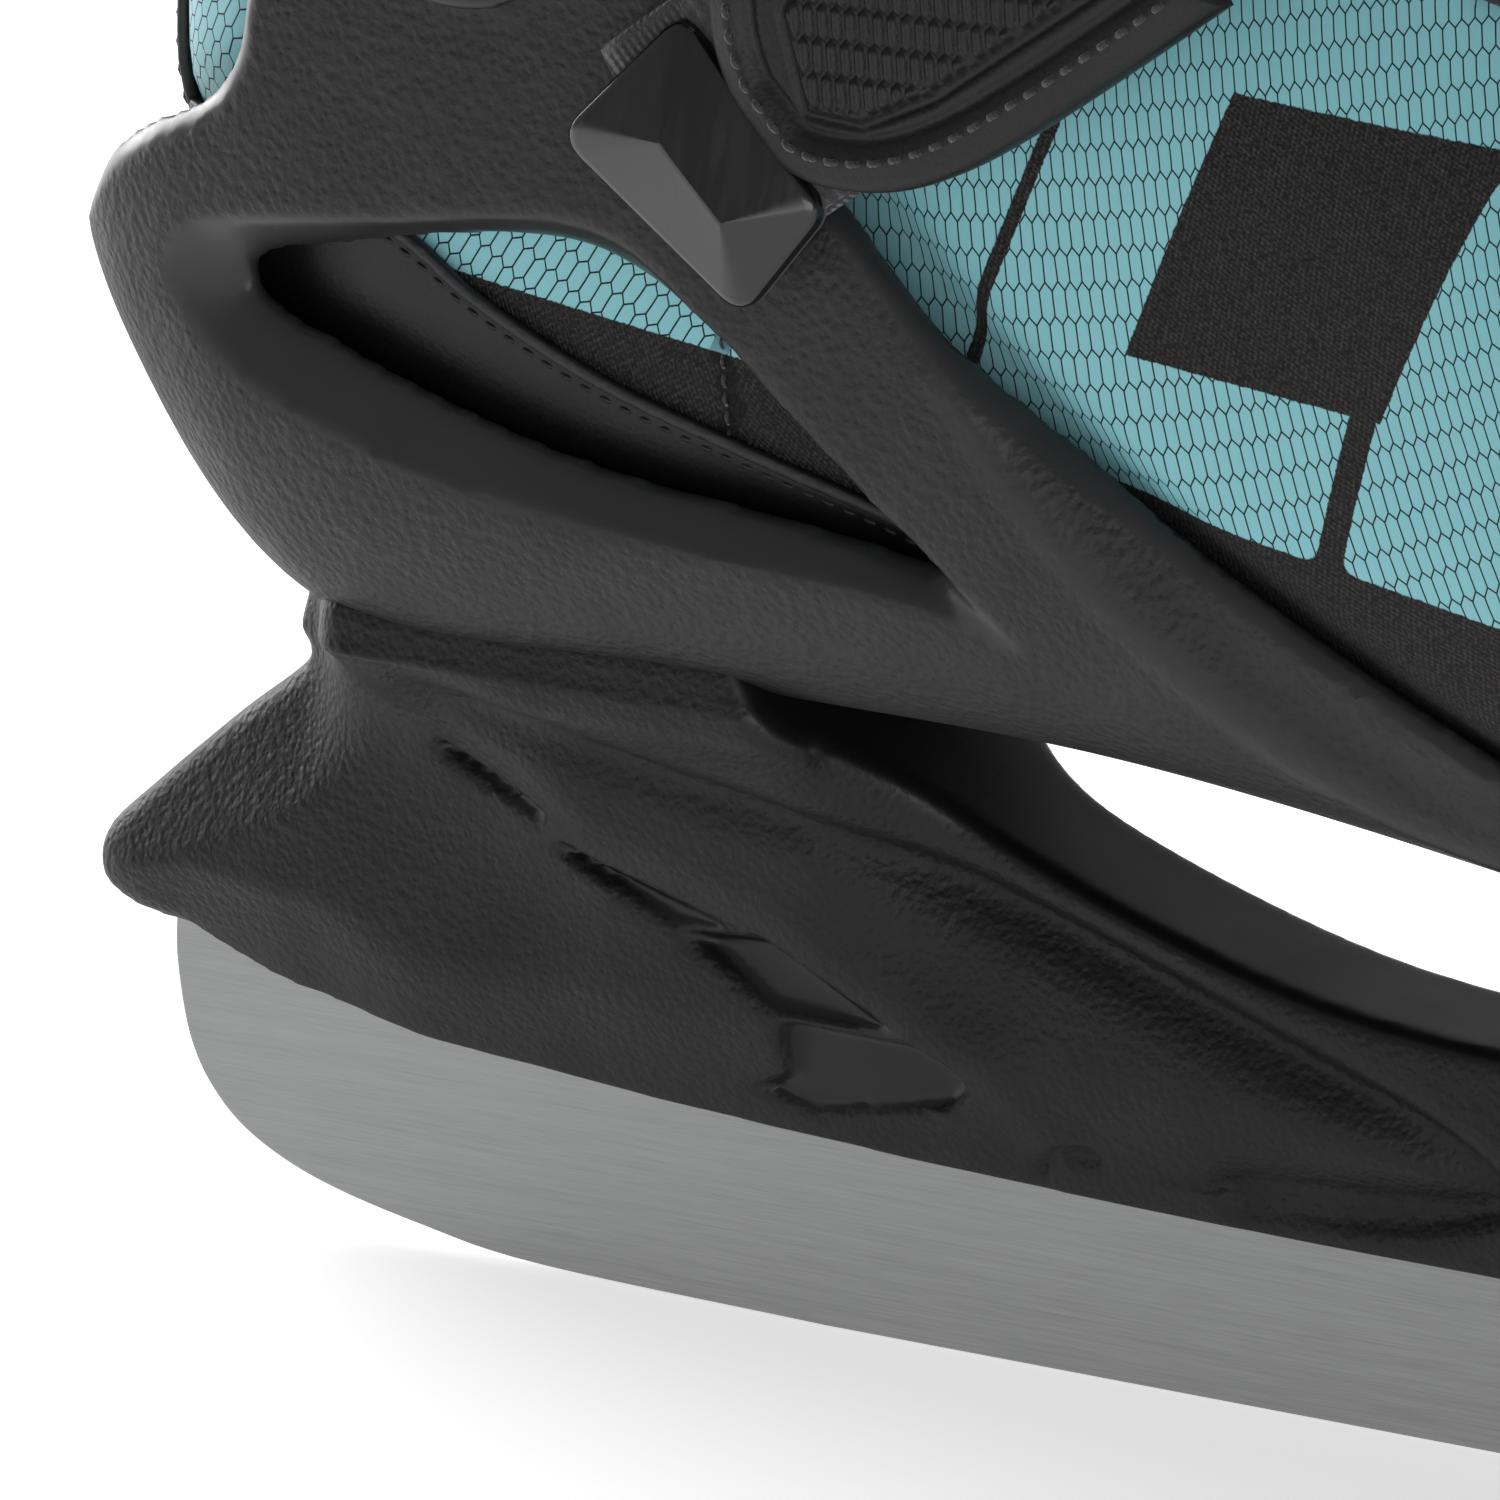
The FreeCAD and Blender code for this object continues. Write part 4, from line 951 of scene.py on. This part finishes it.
def outward(points):
    """Unit directions away from the boot's middle plane and heel axis."""
    away = np.array(points, float).copy()
    away[:, 0] = np.minimum(points[:, 0] - HEEL_X, 0)
    away[:, 2] = 0
    return away / np.linalg.norm(away, axis=1)[:, None]


COUNTER_TOP = smooth_line([(-38, 88.2), (-47.3, 91.5), (-61.6, 95.3), (-77.2, 100), (-90.6, 106),
                           (-100.2, 111.3), (-118, 117), (-151, 119)], 6)


def make_counter(tree):
    """The heel counter, its stitches and its bound edge, round the heel."""
    places = np.linspace(-38.5, 2 * HEEL_MIDDLE + 38.5, 150)
    mirrored = np.where(places < HEEL_MIDDLE, 2 * HEEL_MIDDLE - places, places)
    tops = np.interp(-mirrored, -COUNTER_TOP[:, 0], COUNTER_TOP[:, 1])
    rows = []
    for share in np.linspace(0, 1, 18):
        rows.append([on_boot(tree, a, 78 + (top - 78) * share, 0.2)
                     for a, top in zip(places, tops)])
    counter = patch("heel_counter_patch", np.array(rows)[:, ::-1], 1.1, COUNTER, "skate")
    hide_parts("heel_counter")
    line = np.array([on_boot(tree, a, top - 1.5, 1.25) for a, top in zip(places, tops)])
    stitches("heel_counter_stitches", line, outward(line), 2.3, BUCKLE_PLASTIC, "skate", 0.22, 0.7)
    edge = [on_boot(tree, a, top - 0.1, 0.9) for a, top in zip(places, tops)]
    tube("heel_counter_edge", edge, (0, 0, 1), (0.65, 0.6), LEATHER, "skate", 12)


def make_back_strip(tree):
    """The leather strip up the back of the boot, and its two rows of stitches."""
    rows = []
    edges = []
    for z in np.linspace(117, 281, 60):
        half = 17 + 5 * ramp(z, 230, 280) - 2 * ramp(z, 120, 150)
        around = np.linspace(HEEL_MIDDLE + half, HEEL_MIDDLE - half, 24)
        rows.append([on_boot(tree, a, z, 0.2) for a in around])
        edges.append([on_boot(tree, HEEL_MIDDLE + half - 2, z, 1.45),
                      on_boot(tree, HEEL_MIDDLE - half + 2, z, 1.45)])
    strip = patch("heel_strip", np.array(rows)[:, ::-1], 1.3, LEATHER)
    made = [strip]
    for index, side in enumerate(("lateral", "medial")):
        line = np.array([edge[index] for edge in edges])
        made.append(stitches("heel_strip_stitches_" + side, line, outward(line), 2.8, STITCH,
                             None))
    return made


def make_tongue():
    """A padded tongue that fills the throat from the instep to the shin."""
    half = THROAT_HALF - 0.8
    rows = 80
    columns = 31
    top = len(BOOT_FORM) - 1.0
    made = []
    for row in range(rows):
        u = THROAT_START - 0.2 + (top - THROAT_START + 0.12) * row / (rows - 1)
        edge = throat_angle(u, half)
        made.append(ring(BOOT_FORM, u, np.linspace(edge, -edge, columns), -5.6))
    made = np.array(made)
    tongue = patch("tongue_pad", made, 5.4, TEXTILE)
    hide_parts("tongue_base", "tongue_leg")
    return tongue


def swollen(obj, cap, pressure=4.0, voxel=5.0):
    """Blows a padded piece up a little with cloth under pressure, moving no point past cap."""
    applied(obj, "REMESH", mode="VOXEL", voxel_size=voxel * MM)
    before = np.array([vertex.co for vertex in obj.data.vertices])
    cloth = obj.modifiers.new("cloth", "CLOTH")
    cloth.settings.use_pressure = True
    cloth.settings.uniform_pressure_force = pressure
    cloth.settings.effector_weights.gravity = 0
    for number in range(1, 21):
        scene.frame_set(number)
    graph = bpy.context.evaluated_depsgraph_get()
    shaped = bpy.data.meshes.new_from_object(obj.evaluated_get(graph))
    obj.modifiers.remove(cloth)
    scene.frame_set(1)
    after = np.array([vertex.co for vertex in shaped.vertices])
    moved = after - before
    length = np.linalg.norm(moved, axis=1)[:, None]
    after = before + moved * np.minimum(1, cap * MM / np.maximum(length, 1e-9))
    obj.data.vertices.foreach_set("co", after.ravel())
    applied(obj, "SMOOTH", factor=0.5, iterations=3)
    applied(obj, "SUBSURF", levels=1)
    obj.data.polygons.foreach_set("use_smooth", [True] * len(obj.data.polygons))
    return obj


def cross_ankle(obj):
    """Bakes the piece's transform into its mesh."""
    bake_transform(obj)


def make_panel_seam(tree):
    """The stitched seam where the heel panel meets the front panel, on both sides."""
    made = []
    for side, around in (("lateral", PANEL_SEAM), ("medial", 2 * HEEL_MIDDLE - PANEL_SEAM)):
        line = np.array([on_boot(tree, around, z, 0.15) for z in np.linspace(88, 255, 90)])
        made.append(stitches("panel_seam_" + side, line, outward(line), 1.9, STITCH, None, 0.18))
    return made


boot, boot_skin = make_boot()
tree = boot_tree(boot)
make_counter(tree)
for part in make_back_strip(tree) + make_panel_seam(tree):
    cross_ankle(part)
tongue = make_tongue()
swollen(tongue, 1.6, voxel=3.4)
cross_ankle(tongue)


def make_piping(skin):
    """Bound edges round the throat and the collar."""
    right = skin[:, 0]
    left = skin[::-1, -1]
    start = int(np.argmax(np.linalg.norm(skin[:, 0] - skin[:, -1], axis=1) > 3))
    line = np.concatenate([left[:len(left) - start], right[start:], skin[-1][1:-1]])
    line[:, 1] *= 0.985
    steps = np.linalg.norm(np.roll(line, -1, 0) - line, axis=1)
    total = np.concatenate([[0], np.cumsum(steps)])
    around = np.concatenate([line, line[:1]])
    at = np.arange(0, total[-1], 2.2)
    even = np.stack([np.interp(at, total, around[:, axis]) for axis in range(3)], 1)
    for _ in range(3):
        even = (np.roll(even, 1, 0) + 2 * even + np.roll(even, -1, 0)) / 4
    piping = tube("collar_piping", even, (0, 1, 0.001), (2.7, 2.7), TEXTILE, None, 10, closed=True)
    return piping


cross_ankle(make_piping(boot_skin))
cross_ankle(boot)


def make_footbed():
    """A thin padded insole on the boot's floor."""
    rows = []
    for u in np.linspace(0.7, 9.1, 70):
        rows.append(ring(BOOT_FORM, u, np.linspace(math.pi - 0.95, math.pi + 0.95, 28),
                         -BOOT_WALL - 4.2))
    bed = patch("footbed_pad", np.array(rows)[:, ::-1], -3.2, LINER)
    swollen(bed, 1.0, voxel=3.4)
    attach(bed, "skate")
    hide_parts("footbed")


def make_toe_bumper():
    """The leather cap over the toe and its row of stitches."""
    rows = []
    for u in np.linspace(0.02, 1.75, 22):
        reach = 2.35 - 0.9 * float(ramp(u, 0.9, 1.75))
        rows.append(ring(BOOT_FORM, u, np.linspace(-reach, reach, 60), 0.3))
    bumper = patch("toe_cap", np.array(rows)[:, ::-1], 1.5, LEATHER, "skate")
    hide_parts("toe_bumper")
    line = rows[-2]
    away = line - line.mean(0)
    away /= np.linalg.norm(away, axis=1)[:, None]
    stitches("toe_cap_stitches", line + away * 1.5, away, 2.6, STITCH, "skate")


def throat_place(x_or_z, axis, way, out_from_edge, grow):
    """A place beside the throat: where the boot's form crosses X or Z there."""
    best = None
    for u in np.linspace(3.8, len(BOOT_FORM) - 1.0, 500):
        _, _, width = section(BOOT_FORM, u)
        reach = math.asin(min(((THROAT_HALF + out_from_edge) / width) ** 1.1, 1))
        point = ring(BOOT_FORM, u, np.array([reach * way]), grow)[0]
        gap = abs(point[axis] - x_or_z)
        if best is None or gap < best[0]:
            best = (gap, point)
    return best[1]


def make_lace_loops():
    """Three webbing loops on each side of the throat."""
    loops = []
    for x in (42, 30, 18):
        for way in (-1, 1):
            inner = throat_place(x, 0, way, 1.5, 0.4)
            outer = throat_place(x, 0, way, 5.6, 0.4)
            away = np.array([0.45, way * 0.55, 0.75])
            path = smooth_line([outer, (outer + inner) / 2 + away * 1.5, inner + away * 2.6,
                                inner - away * 0.4 + np.array([0, -way * 2.6, 0]),
                                inner - away * 1.2], 6)
            loops.append(tube("loop", path, (0.8, 0, -0.55), (3.6, 0.75), WEBBING, None, 14))
    loops = joined("lace_webbing_loops", loops)
    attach(loops, "skate")
    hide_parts("lace_loops")


def make_lace_hooks():
    """Two open hooks with washers on each side of the collar."""
    hooks = []
    turn = np.linspace(0, 2 * math.pi, 21)[:-1, None]
    for z in (246, 262):
        for way in (-1, 1):
            base = throat_place(z, 2, way, 7.0, 0.6)
            away = np.array([0.75, way * 0.62, 0.1])
            aside = np.array([-0.4, way * 0.9, 0])
            path = smooth_line([base - away * 0.6 + aside * 1.5, base + away * 1.6 + aside * 0.8,
                                base + away * 3.2, base + away * 3.8 - aside * 2.4], 6)
            hooks.append(tube("hook", path, (0, 0, 1), (2.8, 0.65), DARK_STEEL, None, 12))
            washer = (base + aside * 1.5 + away * 0.4
                      + 2.2 * (aside * np.cos(turn) + np.array([0, 0, 1]) * np.sin(turn)))
            hooks.append(tube("hook", washer, away, (0.5, 0.7), DARK_STEEL, None, 8, closed=True))
    hooks = joined("lace_hook_set", hooks)
    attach(hooks, "cuff")
    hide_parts("lace_hooks")


def make_pull_tab():
    """A webbing loop at the top of the back strip."""
    low, high = (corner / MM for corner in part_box("pull_tab"))
    x = (low.x + high.x) / 2
    half = high.y - 3.2
    path = smooth_line([(x + 1, -half, low.z), (x, -half, low.z + 8), (x - 0.6, -half + 1, high.z - 7),
                        (x - 0.8, -half + 4.5, high.z - 2.6), (x - 0.8, 0, high.z - 1.9),
                        (x - 0.8, half - 4.5, high.z - 2.6), (x - 0.6, half - 1, high.z - 7),
                        (x, half, low.z + 8), (x + 1, half, low.z)], 7)
    tab = tube("heel_pull_tab", path, (1, 0, 0), (1.15, 3.1), WEBBING, "cuff", 14)
    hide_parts("pull_tab")


make_footbed()
make_toe_bumper()
make_lace_loops()
make_lace_hooks()
make_pull_tab()

# ------------------------------------------------------------------ instep strap

TILT_ALONG = np.array([math.cos(STRAP_TILT), 0, math.sin(STRAP_TILT)])
TILT_UP = np.array([-math.sin(STRAP_TILT), 0, math.cos(STRAP_TILT)])


def strap_point(along, side, up):
    """A point in the strap's own tilted frame."""
    return np.array(STRAP_FOOT) + TILT_ALONG * along + np.array([0, side, 0]) + TILT_UP * up


def strap_path(start, end, extra, knee=34.0, reach=83.0, half=42.2):
    """The strap's middle line seen from above its own plane, with its outward directions."""
    side = half + extra
    tip = reach + extra
    bend = []
    for t in np.linspace(-1, 1, 41):
        angle = t * math.pi / 2
        power = 0.86
        bend.append((knee + (tip - knee) * abs(math.cos(angle)) ** power,
                     side * math.copysign(abs(math.sin(angle)) ** power, t)))
    line = [(x, -side) for x in np.linspace(start, knee, 14)[:-1]] + bend
    line += [(x, side) for x in np.linspace(knee, end, 14)[1:]]
    line = np.array(line)
    ahead = np.gradient(line, axis=0)
    ahead /= np.linalg.norm(ahead, axis=1)[:, None]
    return line, np.stack([ahead[:, 1], -ahead[:, 0]], 1)


def strap_band(name, line, out, width, thick, material):
    """A flat webbing band along part of the strap's path, with soft edges."""
    path = np.array([strap_point(x, y, 0) for x, y in line])
    path += np.array([TILT_ALONG * a + np.array([0, b, 0]) for a, b in out]) * thick / 2
    return tube(name, path, TILT_UP, (width / 2, thick / 2), material, "skate", 20)


def make_webbing():
    """The strap's band over the instep, and its return beyond the ring."""
    line, out = strap_path(-1.5, 12, 0.1)
    under = strap_band("instep_webbing", line, out, 25, 2.2, WEBBING)
    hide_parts("strap_webbing")
    line, out = strap_path(62, 16, 2.7)
    keep = np.array([not (y < 0 and x < 62) for x, y in line])
    over = strap_band("instep_return", line[keep], out[keep], 25, 2.4, WEBBING)
    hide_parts("strap_return")


def cell_height(x, y, wide, tall):
    """1 in the middle of each long hexagon cell, 0 on its edges."""
    across = np.abs((x / wide) % 1.0 - 0.5)
    up = np.abs((y / (2 * tall)) % 1.0 - 0.5)
    beyond_end = up + CELL_POINT * across - 0.25 - CELL_POINT / 4
    to_side = np.abs(np.where(beyond_end > 0, 0.0, 0.5) - across) * wide
    to_end = np.abs(beyond_end) / math.hypot(CELL_POINT / wide, 0.5 / tall)
    return ramp(np.minimum(to_side, to_end), 0.02, 0.5)


def offset_line(loop, inset):
    """A closed outline moved inwards."""
    loop = np.array(loop)
    ahead = np.roll(loop, -1, 0) - np.roll(loop, 1, 0)
    ahead /= np.maximum(np.linalg.norm(ahead, axis=1), 1e-6)[:, None]
    normal = np.stack([ahead[:, 1], -ahead[:, 0]], 1)
    moved = loop + normal * inset
    return moved[-polyline_distance(moved[:, 0], moved[:, 1], loop) > inset * 0.9]


def rounded(corners, radius, steps=8):
    """A closed outline with its corners rounded."""
    line = []
    corners = [np.array(corner, float) for corner in corners]
    for index, corner in enumerate(corners):
        before = corners[index - 1] - corner
        after = corners[(index + 1) % len(corners)] - corner
        before /= np.linalg.norm(before)
        after /= np.linalg.norm(after)
        half = math.acos(float(np.clip(before @ after, -1, 1))) / 2
        start = corner + before * radius / math.tan(half)
        end = corner + after * radius / math.tan(half)
        for t in np.linspace(0, 1, steps):
            line.append((1 - t) ** 2 * start + 2 * t * (1 - t) * corner + t * t * end)
        beyond = corners[(index + 1) % len(corners)]
        line.append((end + beyond) / 2)
    return np.array(line)


# The strap's padded end, in its own plane: from its tip along the strap, and across it.
END_START = 10.0
END_LENGTH = 51.2
END_FACE = -45.1
END_UPPER = smooth_line([(0.6, -3.2), (0.2, 1.5), (2.2, 8.0), (6.5, 13.5), (13.5, 16.6),
                         (22, 17.4), (36, 17.8), (END_LENGTH, 17.8)], 6)
END_LOWER = smooth_line([(0.6, -3.2), (1.4, -7.4), (4.6, -11.2), (10.5, -14.8), (18, -16.8),
                         (28, -17.6), (40, -17.8), (END_LENGTH, -17.8)], 6)
END_PANEL = [(8, -4), (11, 4.4), (20, 8.6), (51, 9.4), (51, -9.6), (20, -9), (12, -7.4)]
END_LOOP = [*END_UPPER, *END_LOWER[::-1][:-1]]


def end_thickness(p, q):
    """The padded end's thickness: a round edge, a raised border, a sewn groove, and a panel
    of long hexagon cells that stand upright whatever the strap's tilt."""
    depth = -polyline_distance(p, q, END_LOOP)
    round_edge = np.sqrt(np.clip(1 - (1 - np.clip(depth, 0, 1.7) / 1.7) ** 2, 0, 1))
    border = np.exp(-((depth - 3.1) / 1.3) ** 2)
    thick = 0.7 + 2.0 * round_edge + 0.7 * border - 0.45 * np.exp(-((depth - 5.3) / 0.6) ** 2)
    panel = polyline_distance(p, q, END_PANEL)
    level_x = p * math.cos(STRAP_TILT) - q * math.sin(STRAP_TILT)
    level_z = p * math.sin(STRAP_TILT) + q * math.cos(STRAP_TILT)
    cells = cell_height(level_x + 0.08 * level_z, level_z, 1.5, CELL_TALL)
    thick += ramp(-panel, -0.4, 0.5) * (0.35 + 0.6 * cells)
    return thick - 0.5 * np.exp(-((panel - 0.9) / 0.5) ** 2)


def make_strap_end():
    """The padded free end, which peels off the strap."""
    rows = 230
    columns = 150
    points = []
    for share in np.linspace(0, 1, rows):
        p = END_LENGTH * share ** 1.15 * 0.999 + 0.6 * (1 - share)
        high = np.interp(p, END_UPPER[:, 0], END_UPPER[:, 1])
        low = np.interp(p, END_LOWER[:, 0], END_LOWER[:, 1])
        points += [(p, low + (high - low) * t) for t in np.linspace(0, 1, columns)]
    p, q = np.array(points).T
    thick = end_thickness(p, q)
    front = np.array([strap_point(END_START + a, END_FACE - b, c) for a, b, c in zip(p, thick, q)])
    back = np.array([strap_point(END_START + a, END_FACE + 0.2, c) for a, c in zip(p, q)])
    count = rows * columns
    faces = grid_faces(rows, columns)
    faces += [tuple(count + i for i in face[::-1]) for face in faces]
    rim = [*range(columns), *(row * columns + columns - 1 for row in range(1, rows)),
           *((rows - 1) * columns + k for k in range(columns - 2, -1, -1)),
           *(row * columns for row in range(rows - 2, 0, -1))]
    faces += [(a, count + a, count + b, b) for a, b in zip(rim, rim[1:] + rim[:1])]
    end = piece("strap_end_pad", np.concatenate([front, back]), faces, STRAP_SKIN)
    applied(end, "WELD", merge_threshold=0.00003)
    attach(end, "strap_end")
    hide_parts("strap_end")


def make_end_stitches():
    """The row of stitches just inside the padded end's border."""
    sewn = offset_line(END_LOOP, 3.2)
    sewn = sewn[sewn[:, 0] < END_LENGTH - 0.8]
    turn = int(np.argmax(np.linalg.norm(np.diff(sewn, axis=0), axis=1)))
    sewn = np.concatenate([sewn[turn + 1:], sewn[:turn + 1]])
    path = np.array([strap_point(END_START + a, END_FACE - 3.35, c) for a, c in sewn])
    stitches("strap_end_stitches", path, np.tile([0, -1.0, 0], (len(path), 1)), 2.35, STITCH,
             "strap_end", 0.36)


def make_hook_tape():
    """The fuzzy tape on the strap, under its padded end."""
    rows = [[strap_point(a, -44.6 + 0.12 * math.sin(a * 3 + c * 2), c)
             for c in np.linspace(-12, 12, 20)] for a in np.linspace(9, 61, 40)]
    fuzz = patch("strap_hook_tape", np.array(rows), 0.5, LINER, "skate")


def make_cap():
    """A glossy four-sided cap with a ridge, over the strap's rivet."""
    tilt = math.radians(41)
    along = np.array([math.cos(tilt), 0, -math.sin(tilt)])
    up = np.array([math.sin(tilt), 0, math.cos(tilt)])
    centre = np.array(STRAP_FOOT) + np.array([2.4, 0, 1.4])
    outline = rounded([(-9.2, 9.0), (-10.8, -10.4), (14.4, -8.2), (14.0, 6.4)], 3.0, 9)
    ridge_start = np.array([-1.4, 0.0])
    ridge_end = np.array([8.0, -0.8])
    run = ridge_end - ridge_start
    share = np.clip((outline - ridge_start) @ run / (run @ run), 0, 1)
    top = ridge_start + share[:, None] * run
    levels = [(0.0, -43.9), (0.0, -45.0), (0.02, -45.5), (0.06, -45.85)]
    levels += [(t, -45.85 - 3.35 * (t - 0.06) / 0.94) for t in np.linspace(0.12, 0.94, 10)]
    levels += [(0.975, -49.12), (1.0, -49.16)]
    points = []
    for t, y in levels:
        spot = outline * (1 - t) + top * t
        points += [centre + along * a + up * c + np.array([0, y, 0]) for a, c in spot]
    count = len(outline)
    faces = grid_faces(len(levels), count, closed=True)
    faces.append(tuple(range(count)))
    cap = piece("strap_cap_gloss", points, faces, GLOSS)
    applied(cap, "WELD", merge_threshold=0.00002)
    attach(cap, "skate")
    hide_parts("strap_cap")


make_webbing()
make_strap_end()
make_end_stitches()
make_hook_tape()
make_cap()

# ------------------------------------------------------------------ CAD parts that keep their shape

FINISHES = {
    STEEL: ["blade_bolts", "blade_nuts", "strap_rivets", "buckle_rivets", "ladder_rivet",
            "lever_pin", "pawl_pin", "pawl_spring"],
    DARK_STEEL: ["cuff_pivots", "sole_rivets"],
    BUCKLE_PLASTIC: ["ladder_strap", "buckle_base", "strap_ring"],
    GLOSS: ["buckle_lever", "buckle_pawl"],
}


def finish_nodes():
    """Materials and softened edges for the CAD parts that show as they are."""
    for material, names in FINISHES.items():
        for name in names:
            node = nodes[name]
            node.data.materials.clear()
            node.data.materials.append(material)
            if name != "pawl_spring":
                bevel = node.modifiers.new("soft_edges", "BEVEL")
                bevel.width = 0.35 * MM
                bevel.segments = 2
                bevel.limit_method = "ANGLE"
                bevel.angle_limit = math.radians(40)
            node.data.polygons.foreach_set("use_smooth", [True] * len(node.data.polygons))
            split = node.modifiers.new("edges", "EDGE_SPLIT")
            split.split_angle = math.radians(35)


def make_heel_rivets():
    """Domed rivet heads on the shell's heel floor, under the footbed."""
    low, high = (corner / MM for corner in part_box("heel_rivets"))
    radius = 4.0
    profile = [(0.2, 2.4), (1.6, 2.25), (2.9, 1.7), (3.7, 0.9), (radius, 0.0), (2.2, -0.1),
               (2.2, -7.5), (0.2, -7.5)]
    turn = np.arange(20) / 20 * 2 * math.pi
    parts = []
    for x in (low.x + radius, high.x - radius):
        for y in (low.y + radius, high.y - radius):
            rings = np.array([[(x + out * math.cos(a), y + out * math.sin(a), high.z - 2.4 + up)
                               for a in turn] for out, up in profile])
            faces = grid_faces(len(profile), 20, closed=True)
            faces += [tuple(range(20)), tuple((len(profile) - 1) * 20 + k for k in range(20))]
            parts.append(piece("rivet", rings.reshape(-1, 3), faces, DARK_STEEL))
    rivets = joined("heel_rivet_heads", parts)
    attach(rivets, "skate")
    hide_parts("heel_rivets")


def make_runner():
    """The steel runner: its rockered lower edge turns up in one sweep at each end."""
    low, high = (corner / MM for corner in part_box("blade"))
    half = (high.x - low.x) / 2
    end = [(half, 31), (half, 25.5), (half - 1.4, 18), (half - 4.2, 12.8), (half - 9, 8.6),
           (half - 17, 5.2), (half - 29, 2.6), (half - 43, 0.8), (half - 76, 0.1)]
    curve = smooth_line(end, 6)
    edge = [*curve, *((-x, z) for x, z in curve[::-1])]
    count = len(edge)
    points = [(x, y, z) for y in (high.y, low.y) for x, z in edge]
    faces = [tuple(range(count))[::-1], tuple(range(count, 2 * count))]
    faces += [(k, (k + 1) % count, count + (k + 1) % count, count + k) for k in range(count)]
    runner = piece("blade_runner", points, faces, BLADE_STEEL, flat=True)
    applied(runner, "BEVEL", width=0.22 * MM, segments=2, limit_method="ANGLE",
            angle_limit=math.radians(40))
    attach(runner, "skate")
    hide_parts("blade")


finish_nodes()
make_heel_rivets()
make_runner()


# ------------------------------------------------------------------ floor, lights and camera

def area_light(name, place, target, width, height, power):
    light = bpy.data.lights.new(name, "AREA")
    light.shape = "RECTANGLE"
    light.size = width
    light.size_y = height
    light.energy = power
    obj = bpy.data.objects.new(name, light)
    scene.collection.objects.link(obj)
    obj.location = place
    obj.rotation_euler = (Vector(target) - Vector(place)).to_track_quat("-Z", "Y").to_euler()


def make_stage():
    """A pale floor under the runner, a white sky and three soft lamps."""
    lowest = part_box("blade")[0].z
    reach = 12.0
    white = Paint("pale_floor", (0.92, 0.92, 0.92), 0.85, Emission_Color=(1, 1, 1, 1),
                  Emission_Strength=0.55)
    white.vary((0.9, 0.9, 0.9), 0.01, 3.0)
    floor = piece("floor", [(-reach, -reach, lowest), (reach, -reach, lowest),
                            (reach, reach, lowest), (-reach, reach, lowest)],
                  [(0, 1, 2, 3)], white.material, scale=1.0)
    world = bpy.data.worlds.new("studio")
    world.use_nodes = True
    sky = world.node_tree.nodes["Background"]
    sky.inputs["Color"].default_value = (1, 1, 1, 1)
    sky.inputs["Strength"].default_value = 0.3
    scene.world = world
    middle = (-0.06, 0.0, 0.08)
    area_light("top_softbox", (-0.2, 0.4, 1.5), middle, 1.2, 1.2, 6)
    area_light("rim_softbox", (-1.5, 0.5, 0.6), middle, 0.9, 1.0, 20)
    area_light("front_softbox", (0.9, -1.5, 0.3), middle, 1.4, 0.6, 8)
    scene.view_settings.view_transform = "Standard"


def make_camera():
    target = Vector((-66.45, -20.9, 63.5)) * MM
    azimuth = math.radians(32)
    elevation = math.radians(15.5)
    away = Vector((math.sin(azimuth) * math.cos(elevation),
                   -math.cos(azimuth) * math.cos(elevation), math.sin(elevation)))
    camera = bpy.data.cameras.new("camera")
    camera.sensor_width = 36
    camera.lens = 352.8
    camera.clip_end = 100
    obj = bpy.data.objects.new("camera", camera)
    scene.collection.objects.link(obj)
    obj.location = target + away * 1.4
    obj.rotation_euler = away.to_track_quat("Z", "Y").to_euler()
    scene.camera = obj


make_stage()
make_camera()
